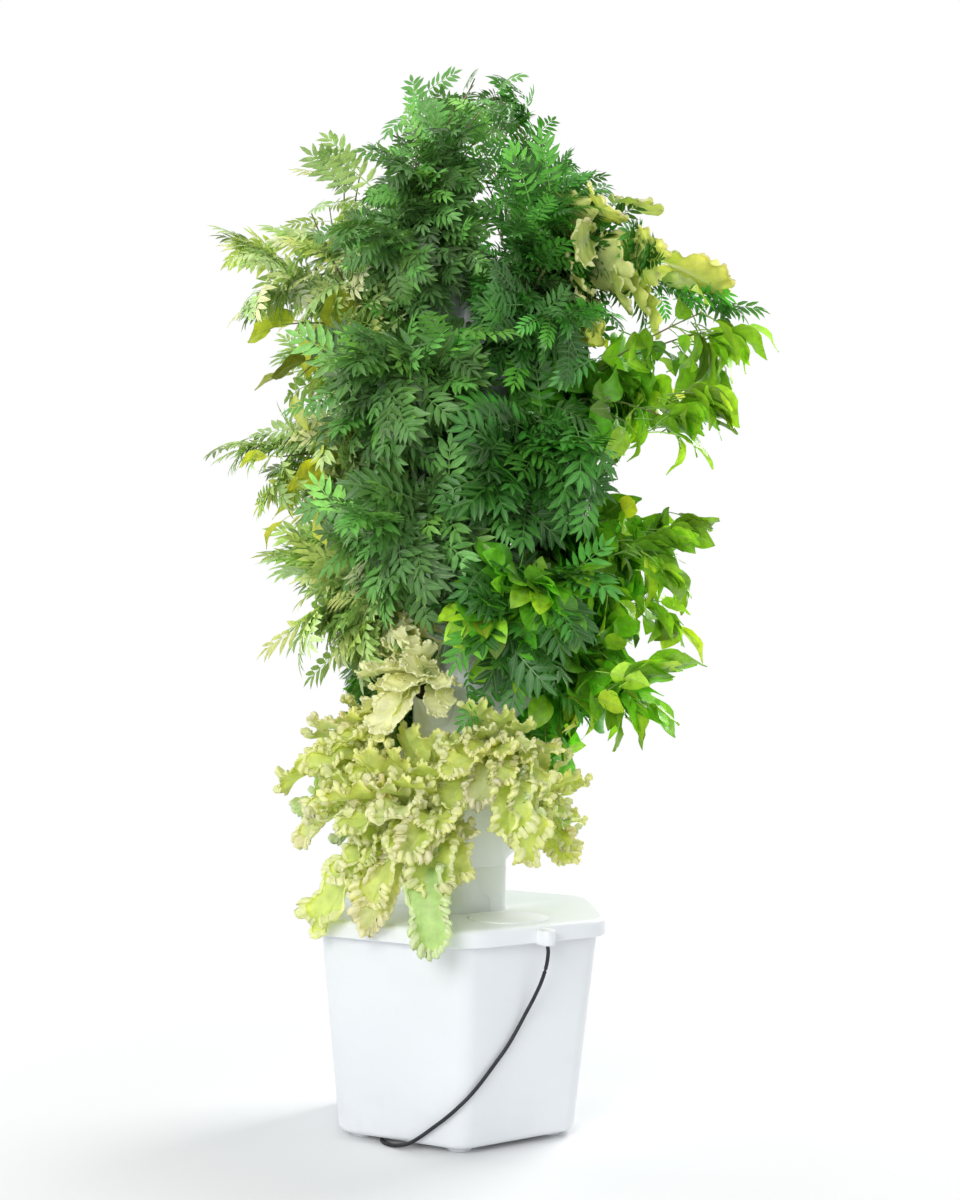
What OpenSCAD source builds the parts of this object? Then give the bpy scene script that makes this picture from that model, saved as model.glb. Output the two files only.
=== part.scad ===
// Floor-standing hydroponic tower: a six-sided tub and lid, a column of stacked planting sections,
// the pump and riser inside, and the plants. Millimetres, +Z up, origin on the floor under the column.

/* [Tub] */
// Width across the flats at the rim
tub_top_af = 492; // [470:1:520]
// Width across the flats at the floor
tub_base_af = 416; // [390:1:440]
// Height of the rim above the floor
tub_h = 383; // [340:1:430]
// Wall thickness of the tub
tub_wall = 4; // [3:0.5:6]
// Rounding of the upright corners
tub_corner_r = 45; // [30:1:60]
// Rounding of the bottom edge
tub_edge_r = 12; // [6:1:18]
// Height of the moulded feet
foot_h = 10; // [9:1:16]
// Radius of each moulded foot
foot_r = 22; // [16:1:28]

/* [Lid] */
// Thickness of the lid
lid_t = 4; // [3:0.5:6]
// Free gap between the tub's rim and the lid's lip
lip_gap = 10; // [6:1:14]
// Depth of the turned-down lip, from the lid's top
lip_h = 30; // [22:1:40]
// Rounding of the lid's upright corners
lid_corner_r = 80; // [50:1:100]
// Rounding of the lid's top edge
lid_edge = 9; // [4:1:12]
// Depth of the rib that centres the lid in the tub
rib_h = 12; // [6:1:18]
// Thickness of that rib
rib_t = 3; // [2:0.5:5]
// Diameter of the drain hole under the column
drain_d = 110; // [80:1:120]

/* [Access cover] */
// Diameter of the cover
cover_d = 144; // [120:1:146]
// Distance from the column's axis to the cover's centre
cover_out = 165; // [163:1:168]
// Thickness of the cover's plate
cover_t = 5; // [3:0.5:8]
// Width of the ledge that the cover rests on
cover_ledge = 7; // [4:1:10]
// Depth of the cover's centring ring
cover_ring_h = 10; // [6:1:16]
// Radius of the finger notch
finger_r = 12; // [8:1:15]
// How far the cover lifts
cover_lift = 60; // [30:1:70]

/* [Column] */
// Width across the flats of a section
column_af = 172; // [164:1:176]
// Cut-back of the column's corners
column_corner = 4; // [2:0.5:8]
// Wall thickness of a section
column_wall = 3.5; // [2.5:0.5:5]
// Height of the foot
column_foot_h = 80; // [60:1:110]
// Height of one section
section_h = 122; // [116:1:140]
// Depth of the spigot that enters the piece below
spigot_h = 12; // [8:1:18]
// Wall thickness of the spigot
spigot_t = 3; // [2:0.5:4]
// Width of each arched recess in the foot
arch_w = 30; // [20:1:44]
// Height of each arched recess
arch_h = 32; // [24:1:48]
// Depth of each arched recess
arch_deep = 1.8; // [1:0.1:2.2]
// Thickness of the cap's plate
cap_t = 6; // [4:0.5:10]
// Rise of the cap's cone
cap_rise = 16; // [8:1:24]
// How far the cap lifts
cap_lift = 60; // [30:1:80]

/* [Ports] */
// Bore of a port
port_d = 58; // [50:1:60]
// Wall thickness of a port
port_wall = 4; // [3:0.5:5]
// Height of a port's axis above the bottom of its section
port_level = 50; // [46:1:58]
// Length of a port, from the column's face to its mouth
port_reach = 42; // [38:1:50]
// Tilt of a port above the horizontal
port_tilt = 45; // [40:1:50]
// Depth of a net cup
cup_h = 48; // [40:1:56]
// Wall thickness of a net cup
cup_wall = 1.6; // [1.2:0.1:2.4]
// Width of a net cup's slots
cup_slot = 6; // [4:0.5:8]
// Diameter of the stem hole in a grow plug
stem_hole_d = 9; // [8.6:0.1:12]

/* [Plants] */
// Diameter of a stem at the plug
stem_d = 8; // [5:0.5:8.2]
// Thickness of a leaf at its middle
leaf_t = 2.4; // [1.6:0.2:4]
// Reach of a large plant, from the column's axis
plant_reach = 500; // [480:1:510]
// Length of a marigold's leafy tip
bush_leaf = 165; // [120:1:180]
// Length of a broad herb's leafy tip
broad_leaf = 135; // [90:1:150]
// Length of a lettuce leaf
lettuce_leaf = 215; // [140:1:230]

/* [Pump and riser] */
// Width of the pump
pump_w = 64; // [58:1:80]
// Height of the pump
pump_h = 52; // [48:1:70]
// Length of the motor block
motor_len = 48; // [44:1:70]
// Length of the pump chamber's housing
front_len = 30; // [26:1:40]
// Height of the suction cups
cup_foot_h = 6; // [4:1:10]
// Radius of the impeller
impeller_r = 14; // [10:0.5:16]
// Radius of the magnet rotor
rotor_r = 8; // [6:0.5:10]
// Diameter of the rotor's shaft
shaft_d = 3; // [2:0.5:5]
// Travel of the flow shutter
slider_travel = 8; // [4:0.5:9]
// Outside diameter of the riser pipe
riser_d = 20; // [18:1:26]
// Wall thickness of the riser pipe
riser_wall = 2; // [1.5:0.5:2.5]
// Height at which the two riser pipes meet
riser_joint_z = 480; // [400:1:560]
// Diameter of the spray head
spray_d = 84; // [60:1:100]

/* [Cord] */
// Diameter of the lead
cord_d = 6.5; // [6:0.1:7]
// Where the lead crosses the rim, along X
cord_x = 8; // [6:1:10]
// Outside width of the cord spout in the lip
spout_w = 26; // [22:1:32]
// Number of turns in the put-away coil
coil_turns = 4.2; // [3.2:1:5.2]
// Radius of the coil's outer turn
coil_r = 41; // [41:1:50]
// Free gap between neighbouring turns
coil_gap = 0.7; // [0.5:0.1:1.2]

/* [Hidden] */
tiers = 9;
ports = 3;
// Free fit between pieces that slide together, and the closer one round a lead or shutter
clear = 0.4;
touch = 0.3;
// How far a cut runs past the face it opens
eps = 0.5;
fine = 96;
corner_steps = 6;

tier_list = [for (k = [1 : tiers]) k];

// Tub and lid
lid_top = tub_h + lid_t;
lip_z = lid_top - lip_h;
lid_af = tub_top_af + 2 * (lip_gap + lid_t);
tub_floor_z = foot_h + tub_wall;
tub_slope = (tub_top_af - tub_base_af) / 2 / (tub_h - foot_h);
foot_out = (tub_base_af / 2 - tub_corner_r) / cos(30);
rib_af = tub_top_af - 2 * tub_wall - 2 * rib_h * tub_slope - 3;
cover_ring_d = cover_d - 2 * cover_ledge - 2;
cover_recess = 3;
cover_step = 1;
cover_ring_t = 3;
cover_notch_turn = 150;

// Column
column_in_af = column_af - 2 * column_wall;
spigot_af = column_in_af - 2 * clear;
foot_top = lid_top + column_foot_h;
column_top = foot_top + tiers * section_h;
column_circle = column_af / 2 / cos(30) - column_corner;
drain_spigot_d = drain_d - 2 * clear;
drain_spigot_wall = 4;
cap_lip = 3;
cap_edge = 14;
cap_flat_r = 24;

// Ports: mouth of a port in its own plane, as distance from the axis and height above the section's base
port_out_d = port_d + 2 * port_wall;
mouth_r = column_af / 2 + port_reach * cos(port_tilt);
mouth_z = port_level + port_reach * sin(port_tilt);
cup_lip_t = 2;
cup_top_d = port_d - 2 * clear;
cup_taper = 7;
cup_low_d = cup_top_d - 2 * cup_taper;
cup_slot_low = 4;
cup_slot_high = 10;
plug_h = cup_h - cup_wall - clear;

// Pump: its outlet stands on the column's axis, its motor lies towards -Y
pump_z = tub_floor_z + cup_foot_h;
pump_axis_z = pump_z + pump_h / 2;
pump_top = pump_z + pump_h;
motor_end = -front_len / 2 - motor_len;
chamber_r = impeller_r + 3;
chamber_back = -front_len / 2;
chamber_front = front_len / 2 - 7;
chamber_len = chamber_front - chamber_back;
shaft_inset = 6;
shaft_seat = 4;
rotor_len = motor_len - 14;
rotor_room = 1;
run_gap = 0.05;
outlet_h = 16;
riser_bore = riser_d - 2 * riser_wall;
outlet_d = riser_bore;
sleeve_wall = 3;
sleeve_h = 34;
coupling_h = 40;
spray_z = column_top - 44;
spray_h = 24;
spray_collar = 12;
intake_w = 3;
intake_h = 8;
intake_pitch = 5;
intakes = 5;
slider_t = 2;
slider_w = 24;
slider_h = 20;
slider_z = pump_axis_z - 4 - slider_h / 2;
stud_d = 6;
stud_h = 4.5;
stud_in = 13;
gland_len = 24;
gland_seat = 4;
gland_r0 = 7;
gland_r1 = 4.4;

// Cord
cord_r = cord_d / 2;
notch_w = 12;
notch_z = tub_h - 8;
notch_low = 7;
spout_wall = 4;
spout_low = 3;
spout_roof = 2.5;
spout_top = lid_top - lid_edge + 3;
spout_reach = 12;
spout_end = lid_af / 2 + spout_reach;
gland_z = pump_axis_z;
rim_y = tub_top_af / 2;
exit_z = lip_z - spout_low - 1;
lead_route = [
    [0, motor_end - gland_len, gland_z], [0, motor_end - gland_len - 12, gland_z],
    [1, -112, 50], [3, -140, 66], [5, -166, 96], [6, -186, 140], [7, -200, 190], [cord_x, -209, 250],
    [cord_x, 32 - rim_y, tub_h - 83], [cord_x, 29 - rim_y, tub_h - 42], [cord_x, 24 - rim_y, tub_h - 27],
    [cord_x, 16 - rim_y, tub_h - 15.5], [cord_x, 8 - rim_y, notch_z], [cord_x, -rim_y, notch_z],
    [cord_x, -rim_y - 9, notch_z - 1.6], [cord_x, -rim_y - 17, notch_z - 6],
    [cord_x, -rim_y - 23, notch_z - 13], [cord_x, 0.6 - spout_end, exit_z + 4], [cord_x, -spout_end, exit_z]
];
floor_z = 3.8;
coil_start = 12;
coil_z = 4.9;
coil_centre = [56, 262];
coil_in = [sin(coil_start), cos(coil_start), 0];
coil_first = [coil_centre.x - coil_r * cos(coil_start), coil_centre.y + coil_r * sin(coil_start), coil_z]
    - cord_d * coil_in;
cord_route = [
    [cord_x, -spout_end, exit_z], [cord_x, -spout_end - 1.8, exit_z - 12], [7, -270, 318], [4, -260, 290],
    [-3, -249, 262], [-13, -240, 236], [-27, -234, 208], [-45, -231, 181], [-67, -228, 155],
    [-91, -226, 129], [-113, -222, 106], [-131, -212, 86], [-144, -196, 67], [-155, -173, 47],
    [-166, -149, 27], [-176, -127, 12], [-186, -104, 5], [-192, -82, floor_z], [-189, -62, floor_z],
    [-177, -44, floor_z], [-157, -28, floor_z], [-131, -10, floor_z], [-103, 13, floor_z],
    [-76, 40, floor_z], [-52, 70, floor_z], [-32, 104, floor_z], [-16, 140, floor_z], [-5, 176, floor_z],
    [4, 212, floor_z], coil_first - 3 * cord_d * coil_in, coil_first - cord_d * coil_in, coil_first
];
coil_step = cord_d + coil_gap;
coil_tail = 14;
coil_rings = 24;
plug_len = 42;
plug_r = 11;
relief_len = 22;
pin_d = 4;
pin_len = 19;
pin_seat = 8;
pin_apart = 13;

// Leaves of each lettuce, from its crown: [turn from the port's face, climb, length, droop to the tip], with
// angles in degrees and the length as a share of lettuce_leaf
falling_head = [
    [46, 86, 0.75, 40], [-28, 85, 0.8, 40], [-46, 55, 0.83, 40], [-13, 43, 0.73, 50], [13, 14, 0.93, 70],
    [-23, 1, 0.9, 65], [35, 29, 0.87, 75], [63, 61, 0.61, 45], [-29, -15, 1.35, 70], [21, -10, 1.5, 75],
    [40, 14, 0.97, 85], [16, 46, 0.8, 45]
];
right_head = [
    [-46, 43, 0.5, 45], [-69, 75, 0.69, 40], [-18, 15, 0.52, 50], [3, 45, 0.64, 45], [-8, 67, 0.65, 35],
    [-40, 12, 0.55, 55], [30, 30, 0.8, 50], [45, 10, 0.85, 60], [20, 5, 0.85, 70]
];
round_head = [for (i = [0 : 8]) [-64 + 16 * (i * 4 % 9), 20 + 30 * (i % 3), 0.95 - 0.1 * (i % 3), 45]];
front_head = [
    [-4, -19, 1.13, 80], [-27, 6, 0.65, 65], [-57, 42, 0.44, 40], [-1, 11, 0.46, 50], [11, -15, 0.73, 70],
    [-36, 24, 0.62, 60], [-45, -4, 0.85, 60], [-18, -12, 1, 75], [35, 20, 0.55, 50]
];
left_head = [
    [-9, 36, 0.62, 40], [32, 50, 0.51, 35], [15, 14, 0.73, 45], [2, -3, 1.05, 45], [26, -18, 1.13, 65],
    [42, -11, 0.7, 50], [-16, -12, 1.06, 55], [55, 65, 0.46, 30]
];
pale_head = [
    [-51, 11, 0.48, 45], [-56, 54, 0.5, 40], [-40, 81, 0.59, 35], [19, 90, 0.62, 30], [40, 16, 0.42, 55],
    [-14, -10, 0.7, 65], [7, 53, 0.48, 45], [-3, 11, 0.53, 50]
];

// What grows in each port, by section and by port: a lettuce and its leaves, or a shrub as
// [kind, reach from the axis, rise above the mouth], both as shares of plant_reach
planting = [
    [["lettuce", falling_head], ["lettuce", right_head], ["lettuce", round_head]],
    [["lettuce", front_head], ["broad", 0.66, 0.12], ["lettuce", left_head]],
    [["lettuce", pale_head], ["broad", 0.84, 0.34], ["bush", 0.54, 0.12]],
    [["broad", 0.62, 0.12], ["broad", 0.80, 0.18], ["bush", 0.56, 0.24]],
    [["bush", 0.64, 0.16], ["broad", 0.92, -0.06], ["bush", 0.68, 0.20]],
    [["bush", 0.68, 0.20], ["bush", 0.74, 0.22], ["bush", 0.78, 0.30]],
    [["bush", 0.72, 0.24], ["broad", 1.04, 0.38], ["bush", 0.74, 0.26]],
    [["tall", 0.70, 0.76], ["bush", 0.86, 0.52], ["bush", 0.78, 0.60]],
    [["tall", 0.68, 0.80], ["tall", 0.88, 0.70], ["tall", 0.80, 0.76]]
];
cell_gap = 1.5;
cell_slope = 0.3;
golden = 137.5;
leaf_sizes = [1, 0.85, 0.7, 0.55, 0.42];

function unit(v) = v / norm(v);
function lerp(a, b, t) = a + (b - a) * t;

// First face that carries a port in a section: neighbouring sections are turned by one face
function port_face(k) = k % 2 == 1 ? 210 : 270;
function section_z(k) = foot_top + (k - 1) * section_h;

// Tangents along a list of points, and a side direction carried along them without twist
function tangents(p) = [for (i = [0 : len(p) - 1]) unit(p[min(i + 1, len(p) - 1)] - p[max(i - 1, 0)])];
function square_to(v, t) = unit(v - (v * t) * t);
function first_side(t) = square_to(abs(t.z) < 0.9 ? [0, 0, 1] : [1, 0, 0], t);
function sides_along(t) = [
    for (i = 0, s = first_side(t[0]); i < len(t);
         i = i + 1, s = i < len(t) ? square_to(s, t[i]) : s) s
];

// Points of a round tube along a path: one ring of n points at each point of the path
function tube_points(p, r, n) =
    let (t = tangents(p), s = sides_along(t))
    [for (i = [0 : len(p) - 1], j = [0 : n - 1])
        let (a = 360 * j / n, rr = is_list(r) ? r[i] : r)
        p[i] + rr * (cos(a) * s[i] + sin(a) * cross(t[i], s[i]))];

// Triangles of that tube, with both ends closed
function tube_faces(m, n) = concat(
    [for (i = [0 : m - 2], j = [0 : n - 1]) [i * n + j, (i + 1) * n + j, (i + 1) * n + (j + 1) % n]],
    [for (i = [0 : m - 2], j = [0 : n - 1]) [i * n + j, (i + 1) * n + (j + 1) % n, i * n + (j + 1) % n]],
    [for (j = [1 : n - 2]) [0, j, j + 1]],
    [for (j = [1 : n - 2]) [(m - 1) * n, (m - 1) * n + j + 1, (m - 1) * n + j]]
);

module tube(p, r, n) {
    polyhedron(points = tube_points(p, r, n), faces = tube_faces(len(p), n), convexity = 6);
}

// Six-sided plate outline with its corners cut back to an arc
module hex_outline(af, corner) {
    intersection() {
        circle(d = af / cos(30), $fn = 6);
        circle(r = af / 2 / cos(30) - corner, $fn = fine);
    }
}

module hex_prism(af, corner, z0, z1) {
    translate([0, 0, z0])
        linear_extrude(z1 - z0)
            hex_outline(af, corner);
}

// Rounded six-sided ring of points: an arc at each corner, tangent to the flats on both sides of it
function hex_ring(af, corner, z) = [
    for (a = [0 : 60 : 300], j = [0 : corner_steps])
        let (out = (af / 2 - corner) / cos(30), b = a - 30 + 60 * j / corner_steps)
        [out * cos(a) + corner * cos(b), out * sin(a) + corner * sin(b), z]
];

// Solid between such rings, each level given as [height, width across flats, corner radius]
module hex_loft(levels) {
    polyhedron(
        points = [for (l = levels) each hex_ring(l[1], l[2], l[0])],
        faces = tube_faces(len(levels), 6 * (corner_steps + 1)),
        convexity = 4
    );
}

module at_ports(k) {
    for (j = [0 : ports - 1])
        rotate([0, 0, port_face(k) + 360 / ports * j])
            children();
}

// Frame of a port's mouth: +Z runs out along the port
module at_mouths(k) {
    at_ports(k)
        translate([mouth_r, 0, section_z(k) + mouth_z])
            rotate([0, 90 - port_tilt, 0])
                children();
}

module reservoir_tub() {
    color("ghostwhite")
    difference() {
        union() {
            hex_loft([
                [foot_h, tub_base_af - 2 * tub_edge_r, tub_corner_r - tub_edge_r / 2],
                [foot_h + tub_edge_r / 3, tub_base_af - tub_edge_r / 2, tub_corner_r],
                [foot_h + tub_edge_r, tub_base_af + 2 * tub_edge_r * tub_slope, tub_corner_r],
                [tub_h, tub_top_af, tub_corner_r]
            ]);
            for (a = [0 : 60 : 300])
                rotate([0, 0, a])
                    translate([foot_out, 0, 0])
                        cylinder(r = foot_r, h = foot_h + tub_wall / 2, $fn = fine);
            cylinder(r = foot_r, h = foot_h + tub_wall / 2, $fn = fine);
        }
        hex_loft([
            [tub_floor_z, tub_base_af - 2 * tub_edge_r - tub_wall, tub_corner_r - tub_wall],
            [tub_floor_z + tub_edge_r, tub_base_af + 2 * (tub_edge_r + tub_wall) * tub_slope - 2 * tub_wall,
                tub_corner_r - tub_wall],
            [tub_h + eps, tub_top_af + 2 * eps * tub_slope - 2 * tub_wall, tub_corner_r - tub_wall]
        ]);
        translate([cord_x - notch_w / 2, -tub_top_af / 2 - tub_wall, notch_z - notch_low])
            cube([notch_w, 3 * tub_wall, tub_h]);
    }
}

module spout_outline(w) {
    translate([cord_x, -spout_end])
        circle(d = w, $fn = fine);
    translate([cord_x - w / 2, -spout_end])
        square([w, spout_end - tub_top_af / 2 - lip_gap / 2]);
}

module reservoir_lid() {
    color("ghostwhite")
    difference() {
        union() {
            difference() {
                union() {
                    hex_loft([
                        [lip_z, lid_af, lid_corner_r],
                        [lid_top - lid_edge, lid_af, lid_corner_r],
                        [lid_top - lid_edge * 0.3, lid_af - lid_edge * 0.6, lid_corner_r],
                        [lid_top, lid_af - 2 * lid_edge, lid_corner_r - lid_edge]
                    ]);
                    translate([0, 0, lip_z - spout_low])
                        linear_extrude(spout_top - lip_z + spout_low)
                            spout_outline(spout_w);
                }
                hex_loft([
                    [lip_z - eps, lid_af - 2 * lid_t, lid_corner_r - lid_t],
                    [tub_h - lid_edge, lid_af - 2 * lid_t, lid_corner_r - lid_t],
                    [tub_h, lid_af - 2 * lid_t - lid_edge, lid_corner_r - lid_t - lid_edge / 2]
                ]);
                translate([0, 0, lip_z - spout_low - eps])
                    linear_extrude(spout_top - spout_roof - lip_z + spout_low + eps)
                        spout_outline(spout_w - 2 * spout_wall);
            }
            difference() {
                hex_loft([
                    [tub_h - rib_h, rib_af, tub_corner_r - tub_wall],
                    [tub_h + eps, rib_af, tub_corner_r - tub_wall]
                ]);
                hex_loft([
                    [tub_h - rib_h - eps, rib_af - 2 * rib_t, tub_corner_r - tub_wall - rib_t],
                    [tub_h + 2 * eps, rib_af - 2 * rib_t, tub_corner_r - tub_wall - rib_t]
                ]);
                translate([cord_x - notch_w, -tub_top_af / 2, tub_h - rib_h - 2 * eps])
                    cube([2 * notch_w, tub_top_af / 4, rib_h + 2 * eps]);
            }
        }
        translate([0, 0, lip_z])
            cylinder(d = drain_d, h = lip_h + eps, $fn = fine);
        translate([0, -cover_out, lip_z]) {
            cylinder(d = cover_ring_d + 2, h = lip_h + eps, $fn = fine);
            translate([0, 0, lip_h - cover_recess])
                cylinder(d = cover_d + 2 * clear, h = cover_t, $fn = fine);
        }
    }
}

module access_cover() {
    color("white")
    translate([0, -cover_out, lid_top - cover_recess])
        difference() {
            union() {
                cylinder(d = cover_d, h = cover_t - cover_step, $fn = fine);
                cylinder(d = cover_d - 2 * cover_step, h = cover_t, $fn = fine);
                translate([0, 0, -cover_ring_h])
                    cylinder(d = cover_ring_d, h = cover_ring_h + eps, $fn = fine);
            }
            translate([0, 0, -cover_ring_h - eps])
                cylinder(d = cover_ring_d - 2 * cover_ring_t, h = cover_ring_h + eps, $fn = fine);
            rotate([0, 0, cover_notch_turn])
                translate([cover_d / 2 + finger_r / 3, 0, -eps])
                    cylinder(r = finger_r, h = cover_t + 2 * eps, $fn = fine);
        }
}

module tower_foot() {
    wall = column_wall + 1;
    color("white")
    difference() {
        union() {
            hex_prism(column_af, column_corner, lid_top, foot_top);
            translate([0, 0, lid_top - spigot_h])
                cylinder(d = drain_spigot_d, h = spigot_h + eps, $fn = fine);
        }
        hex_prism(column_in_af, column_corner, foot_top - spigot_h - clear, foot_top + eps);
        hex_prism(column_af - 2 * wall, column_corner, lid_top + wall, foot_top);
        translate([0, 0, lid_top - spigot_h - eps])
            cylinder(d = drain_spigot_d - 2 * drain_spigot_wall, h = column_foot_h, $fn = fine);
        for (a = [30 : 60 : 330])
            rotate([0, 0, a])
                translate([column_af / 2 - arch_deep, 0, lid_top]) {
                    translate([0, 0, arch_h - arch_w / 2])
                        rotate([0, 90, 0])
                            cylinder(d = arch_w, h = 2 * arch_deep, $fn = fine);
                    translate([0, -arch_w / 2, -eps])
                        cube([2 * arch_deep, arch_w, arch_h - arch_w / 2 + eps]);
                }
    }
}

module tower_section(k) {
    z = section_z(k);
    tube_in = port_out_d / 2 + column_wall;
    color("white")
    difference() {
        union() {
            hex_prism(column_af, column_corner, z, z + section_h);
            hex_prism(spigot_af, column_corner, z - spigot_h, z + eps);
            at_mouths(k)
                translate([0, 0, -port_reach - tube_in])
                    cylinder(d = port_out_d, h = port_reach + tube_in, $fn = fine);
        }
        hex_prism(column_in_af, column_corner, z + spigot_t, z + section_h + eps);
        hex_prism(spigot_af - 2 * spigot_t, column_corner, z - spigot_h - eps, z + section_h);
        at_mouths(k)
            translate([0, 0, -port_reach - 2 * tube_in])
                cylinder(d = port_d, h = port_reach + 2 * tube_in + eps, $fn = fine);
    }
}

module tower_cap() {
    color("white")
    difference() {
        union() {
            hex_prism(column_af + 2 * cap_lip, column_corner, column_top, column_top + cap_t);
            translate([0, 0, column_top + cap_t])
                cylinder(r1 = column_circle - cap_edge, r2 = cap_flat_r, h = cap_rise, $fn = fine);
            hex_prism(spigot_af, column_corner, column_top - spigot_h, column_top + eps);
        }
        hex_prism(spigot_af - 2 * spigot_t, column_corner, column_top - spigot_h - eps, column_top);
        translate([0, 0, column_top - eps])
            cylinder(r1 = column_circle - cap_edge - cap_t, r2 = cap_flat_r - 2, h = cap_rise, $fn = fine);
    }
}

// Slotted cup that hangs in a port by its lip
module net_cups(k) {
    color("dimgray")
    at_mouths(k)
        difference() {
            rotate_extrude($fn = fine)
                polygon([
                    [0, -cup_h], [cup_low_d / 2, -cup_h], [cup_top_d / 2, 0], [port_d / 2 + port_wall - 1, 0],
                    [port_d / 2 + port_wall - 1, cup_lip_t], [cup_top_d / 2 - cup_wall, cup_lip_t],
                    [cup_low_d / 2 - cup_wall, cup_wall - cup_h], [0, cup_wall - cup_h]
                ]);
            for (a = [0 : 60 : 120])
                rotate([0, 0, a])
                    translate([-port_d, -cup_slot / 2, cup_slot_low - cup_h])
                        cube([2 * port_d, cup_slot, cup_h - cup_slot_low - cup_slot_high]);
        }
}

// Foam plug with the stem's hole
module grow_plugs(k) {
    top_r = cup_top_d / 2 - cup_wall - clear;
    low_r = cup_low_d / 2 - cup_wall - clear;
    color("saddlebrown")
    at_mouths(k)
        translate([0, 0, cup_wall - cup_h])
            difference() {
                cylinder(r1 = low_r, r2 = top_r, h = plug_h, $fn = fine);
                translate([0, 0, plug_h / 4])
                    cylinder(d = stem_hole_d, h = plug_h, $fn = fine);
            }
}

// A plant keeps to its own cell, so that no two plants meet: a wedge of one face, between the plants above
// and below it on that face, clear of the column, of its own port, of the lid and of the cap's way up.
// Points are [distance from the axis, sideways, height].
function mouth(k) = [mouth_r, 0, section_z(k) + mouth_z];
port_axis = [cos(port_tilt), 0, sin(port_tilt)];
cell_room = 24;
lift_spare = 10;
near_r = mouth_r + port_out_d / 2 * sin(port_tilt) + cell_room;
lift_room = lid_top + cover_t + cover_lift + lift_spare;
cap_room = column_top + cap_t + cap_rise + cap_lift + lift_spare;

// Out past the lid's edge, where a leaf may hang below the lid
function off_lid(p) = max(p.x, p.x / 2 + abs(p.y) * sin(60)) > lid_af / 2 + 6;

function in_cell(p, k) =
    let (m = mouth(k), climb = cell_slope * (p.x - mouth_r))
    abs(p.y) <= p.x * tan(30) - cell_gap
    && (p.x > column_circle + column_corner + 6 || p.z > cap_room)
    && (k > tiers - 2 || p.z < m.z + section_h + climb - cell_gap)
    && (k <= 2 || p.z > m.z - section_h + climb + cell_gap)
    && (p.x > near_r || (p - m) * port_axis > 5)
    && (p.z > (k == 2 ? lift_room : lid_top + 5) || (k == 1 && off_lid(p)));
function all_in_cell(pts, k) = min([for (p = pts) in_cell(p, k) ? 1 : 0]) == 1;

// Smooth shoot from the plug to its tip: straight out of the port, then bending towards the tip
function shoot(k, tip, n) =
    let (m = mouth(k), c = m + port_axis * 0.5 * norm(tip - m))
    concat(
        [m - port_axis * plug_h / 2, m],
        [for (i = [1 : n]) let (t = i / n) lerp(lerp(m, c, t), lerp(c, tip, t), t)]
    );

// Six points round a leaf and one on each side of its middle
function leaf_points(base, d, w, l, wide) =
    let (up = cross(d, w), mid = base + 0.45 * l * d)
    [
        base, base + 0.28 * l * d + 0.5 * wide * w, base + 0.7 * l * d + 0.42 * wide * w, base + l * d,
        base + 0.7 * l * d - 0.42 * wide * w, base + 0.28 * l * d - 0.5 * wide * w,
        mid + leaf_t * up, mid - leaf_t / 2 * up
    ];
leaf_faces = concat(
    [for (i = [0 : 5]) [6, i, (i + 1) % 6]],
    [for (i = [0 : 5]) [7, (i + 1) % 6, i]]
);

// A leaf takes the largest size that stays in the plant's cell
module leaf(k, base, d, w, l, wide) {
    fits = [for (f = leaf_sizes) let (pts = leaf_points(base, d, w, f * l, f * wide))
        if (all_in_cell([for (q = [1 : 7]) pts[q]], k)) pts];
    if (len(fits) > 0)
        hull()
            polyhedron(points = fits[0], faces = leaf_faces);
}

// Leaves spiral up a shoot and end in one at its tip
module leafy_shoot(k, tip, l, wide, turn) {
    bends = 3;
    inset = 5;
    path = shoot(k, tip, bends);
    t = tangents(path);
    s = sides_along(t);
    last = len(path) - 1;
    tube(path, [for (i = [0 : last]) stem_d / 2 * (1 - 0.6 * i / last)], 3);
    for (j = [2 : last]) {
        a = turn + golden * j;
        d = unit(t[j] * 0.6 + cos(a) * s[j] + sin(a) * cross(t[j], s[j]) - [0, 0, 0.15]);
        leaf(k, path[j] - (j == last ? inset : 0) * t[j], d, unit(cross(t[j], d)), l, wide);
    }
    leaf(k, path[last] - inset * t[last], t[last], unit(cross([0, 0, 1], t[last])), l, wide);
}

// Tips of a shrub's shoots, as shares of its reach and rise: [out from the axis, sideways, height]
shoot_tips = [
    ["tall", [[1, 0, 0.1], [0.66, 0.2, 0.6], [0.3, -0.05, 1], [0.5, -0.16, 0.8]]],
    ["broad", [[1, 0, 1], [0.75, 0.28, 0.6], [0.8, -0.3, 0]]],
    ["bush", [[1, 0, 0.5], [0.75, 0.28, 1], [0.8, -0.3, 0]]]
];
function habit(kind) = [for (entry = shoot_tips) if (entry[0] == kind) entry[1]][0];

module shrub(k, kind, reach, rise, l, wide) {
    far = reach - 0.5 * l;
    tips = habit(kind);
    for (i = [0 : len(tips) - 1]) {
        tip = [tips[i].x * far, tips[i].y * far, mouth(k).z + tips[i].z * rise];
        leafy_shoot(k, tip, l, wide, 20 + 60 * i);
    }
}

// Crown that a lettuce's blades grow from, along the port's axis past its mouth
crown_out = 19;
crown_r = 15;
box_faces = [[0, 1, 2, 3], [4, 7, 6, 5], [0, 4, 5, 1], [1, 5, 6, 2], [2, 6, 7, 3], [3, 7, 4, 0]];

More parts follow.
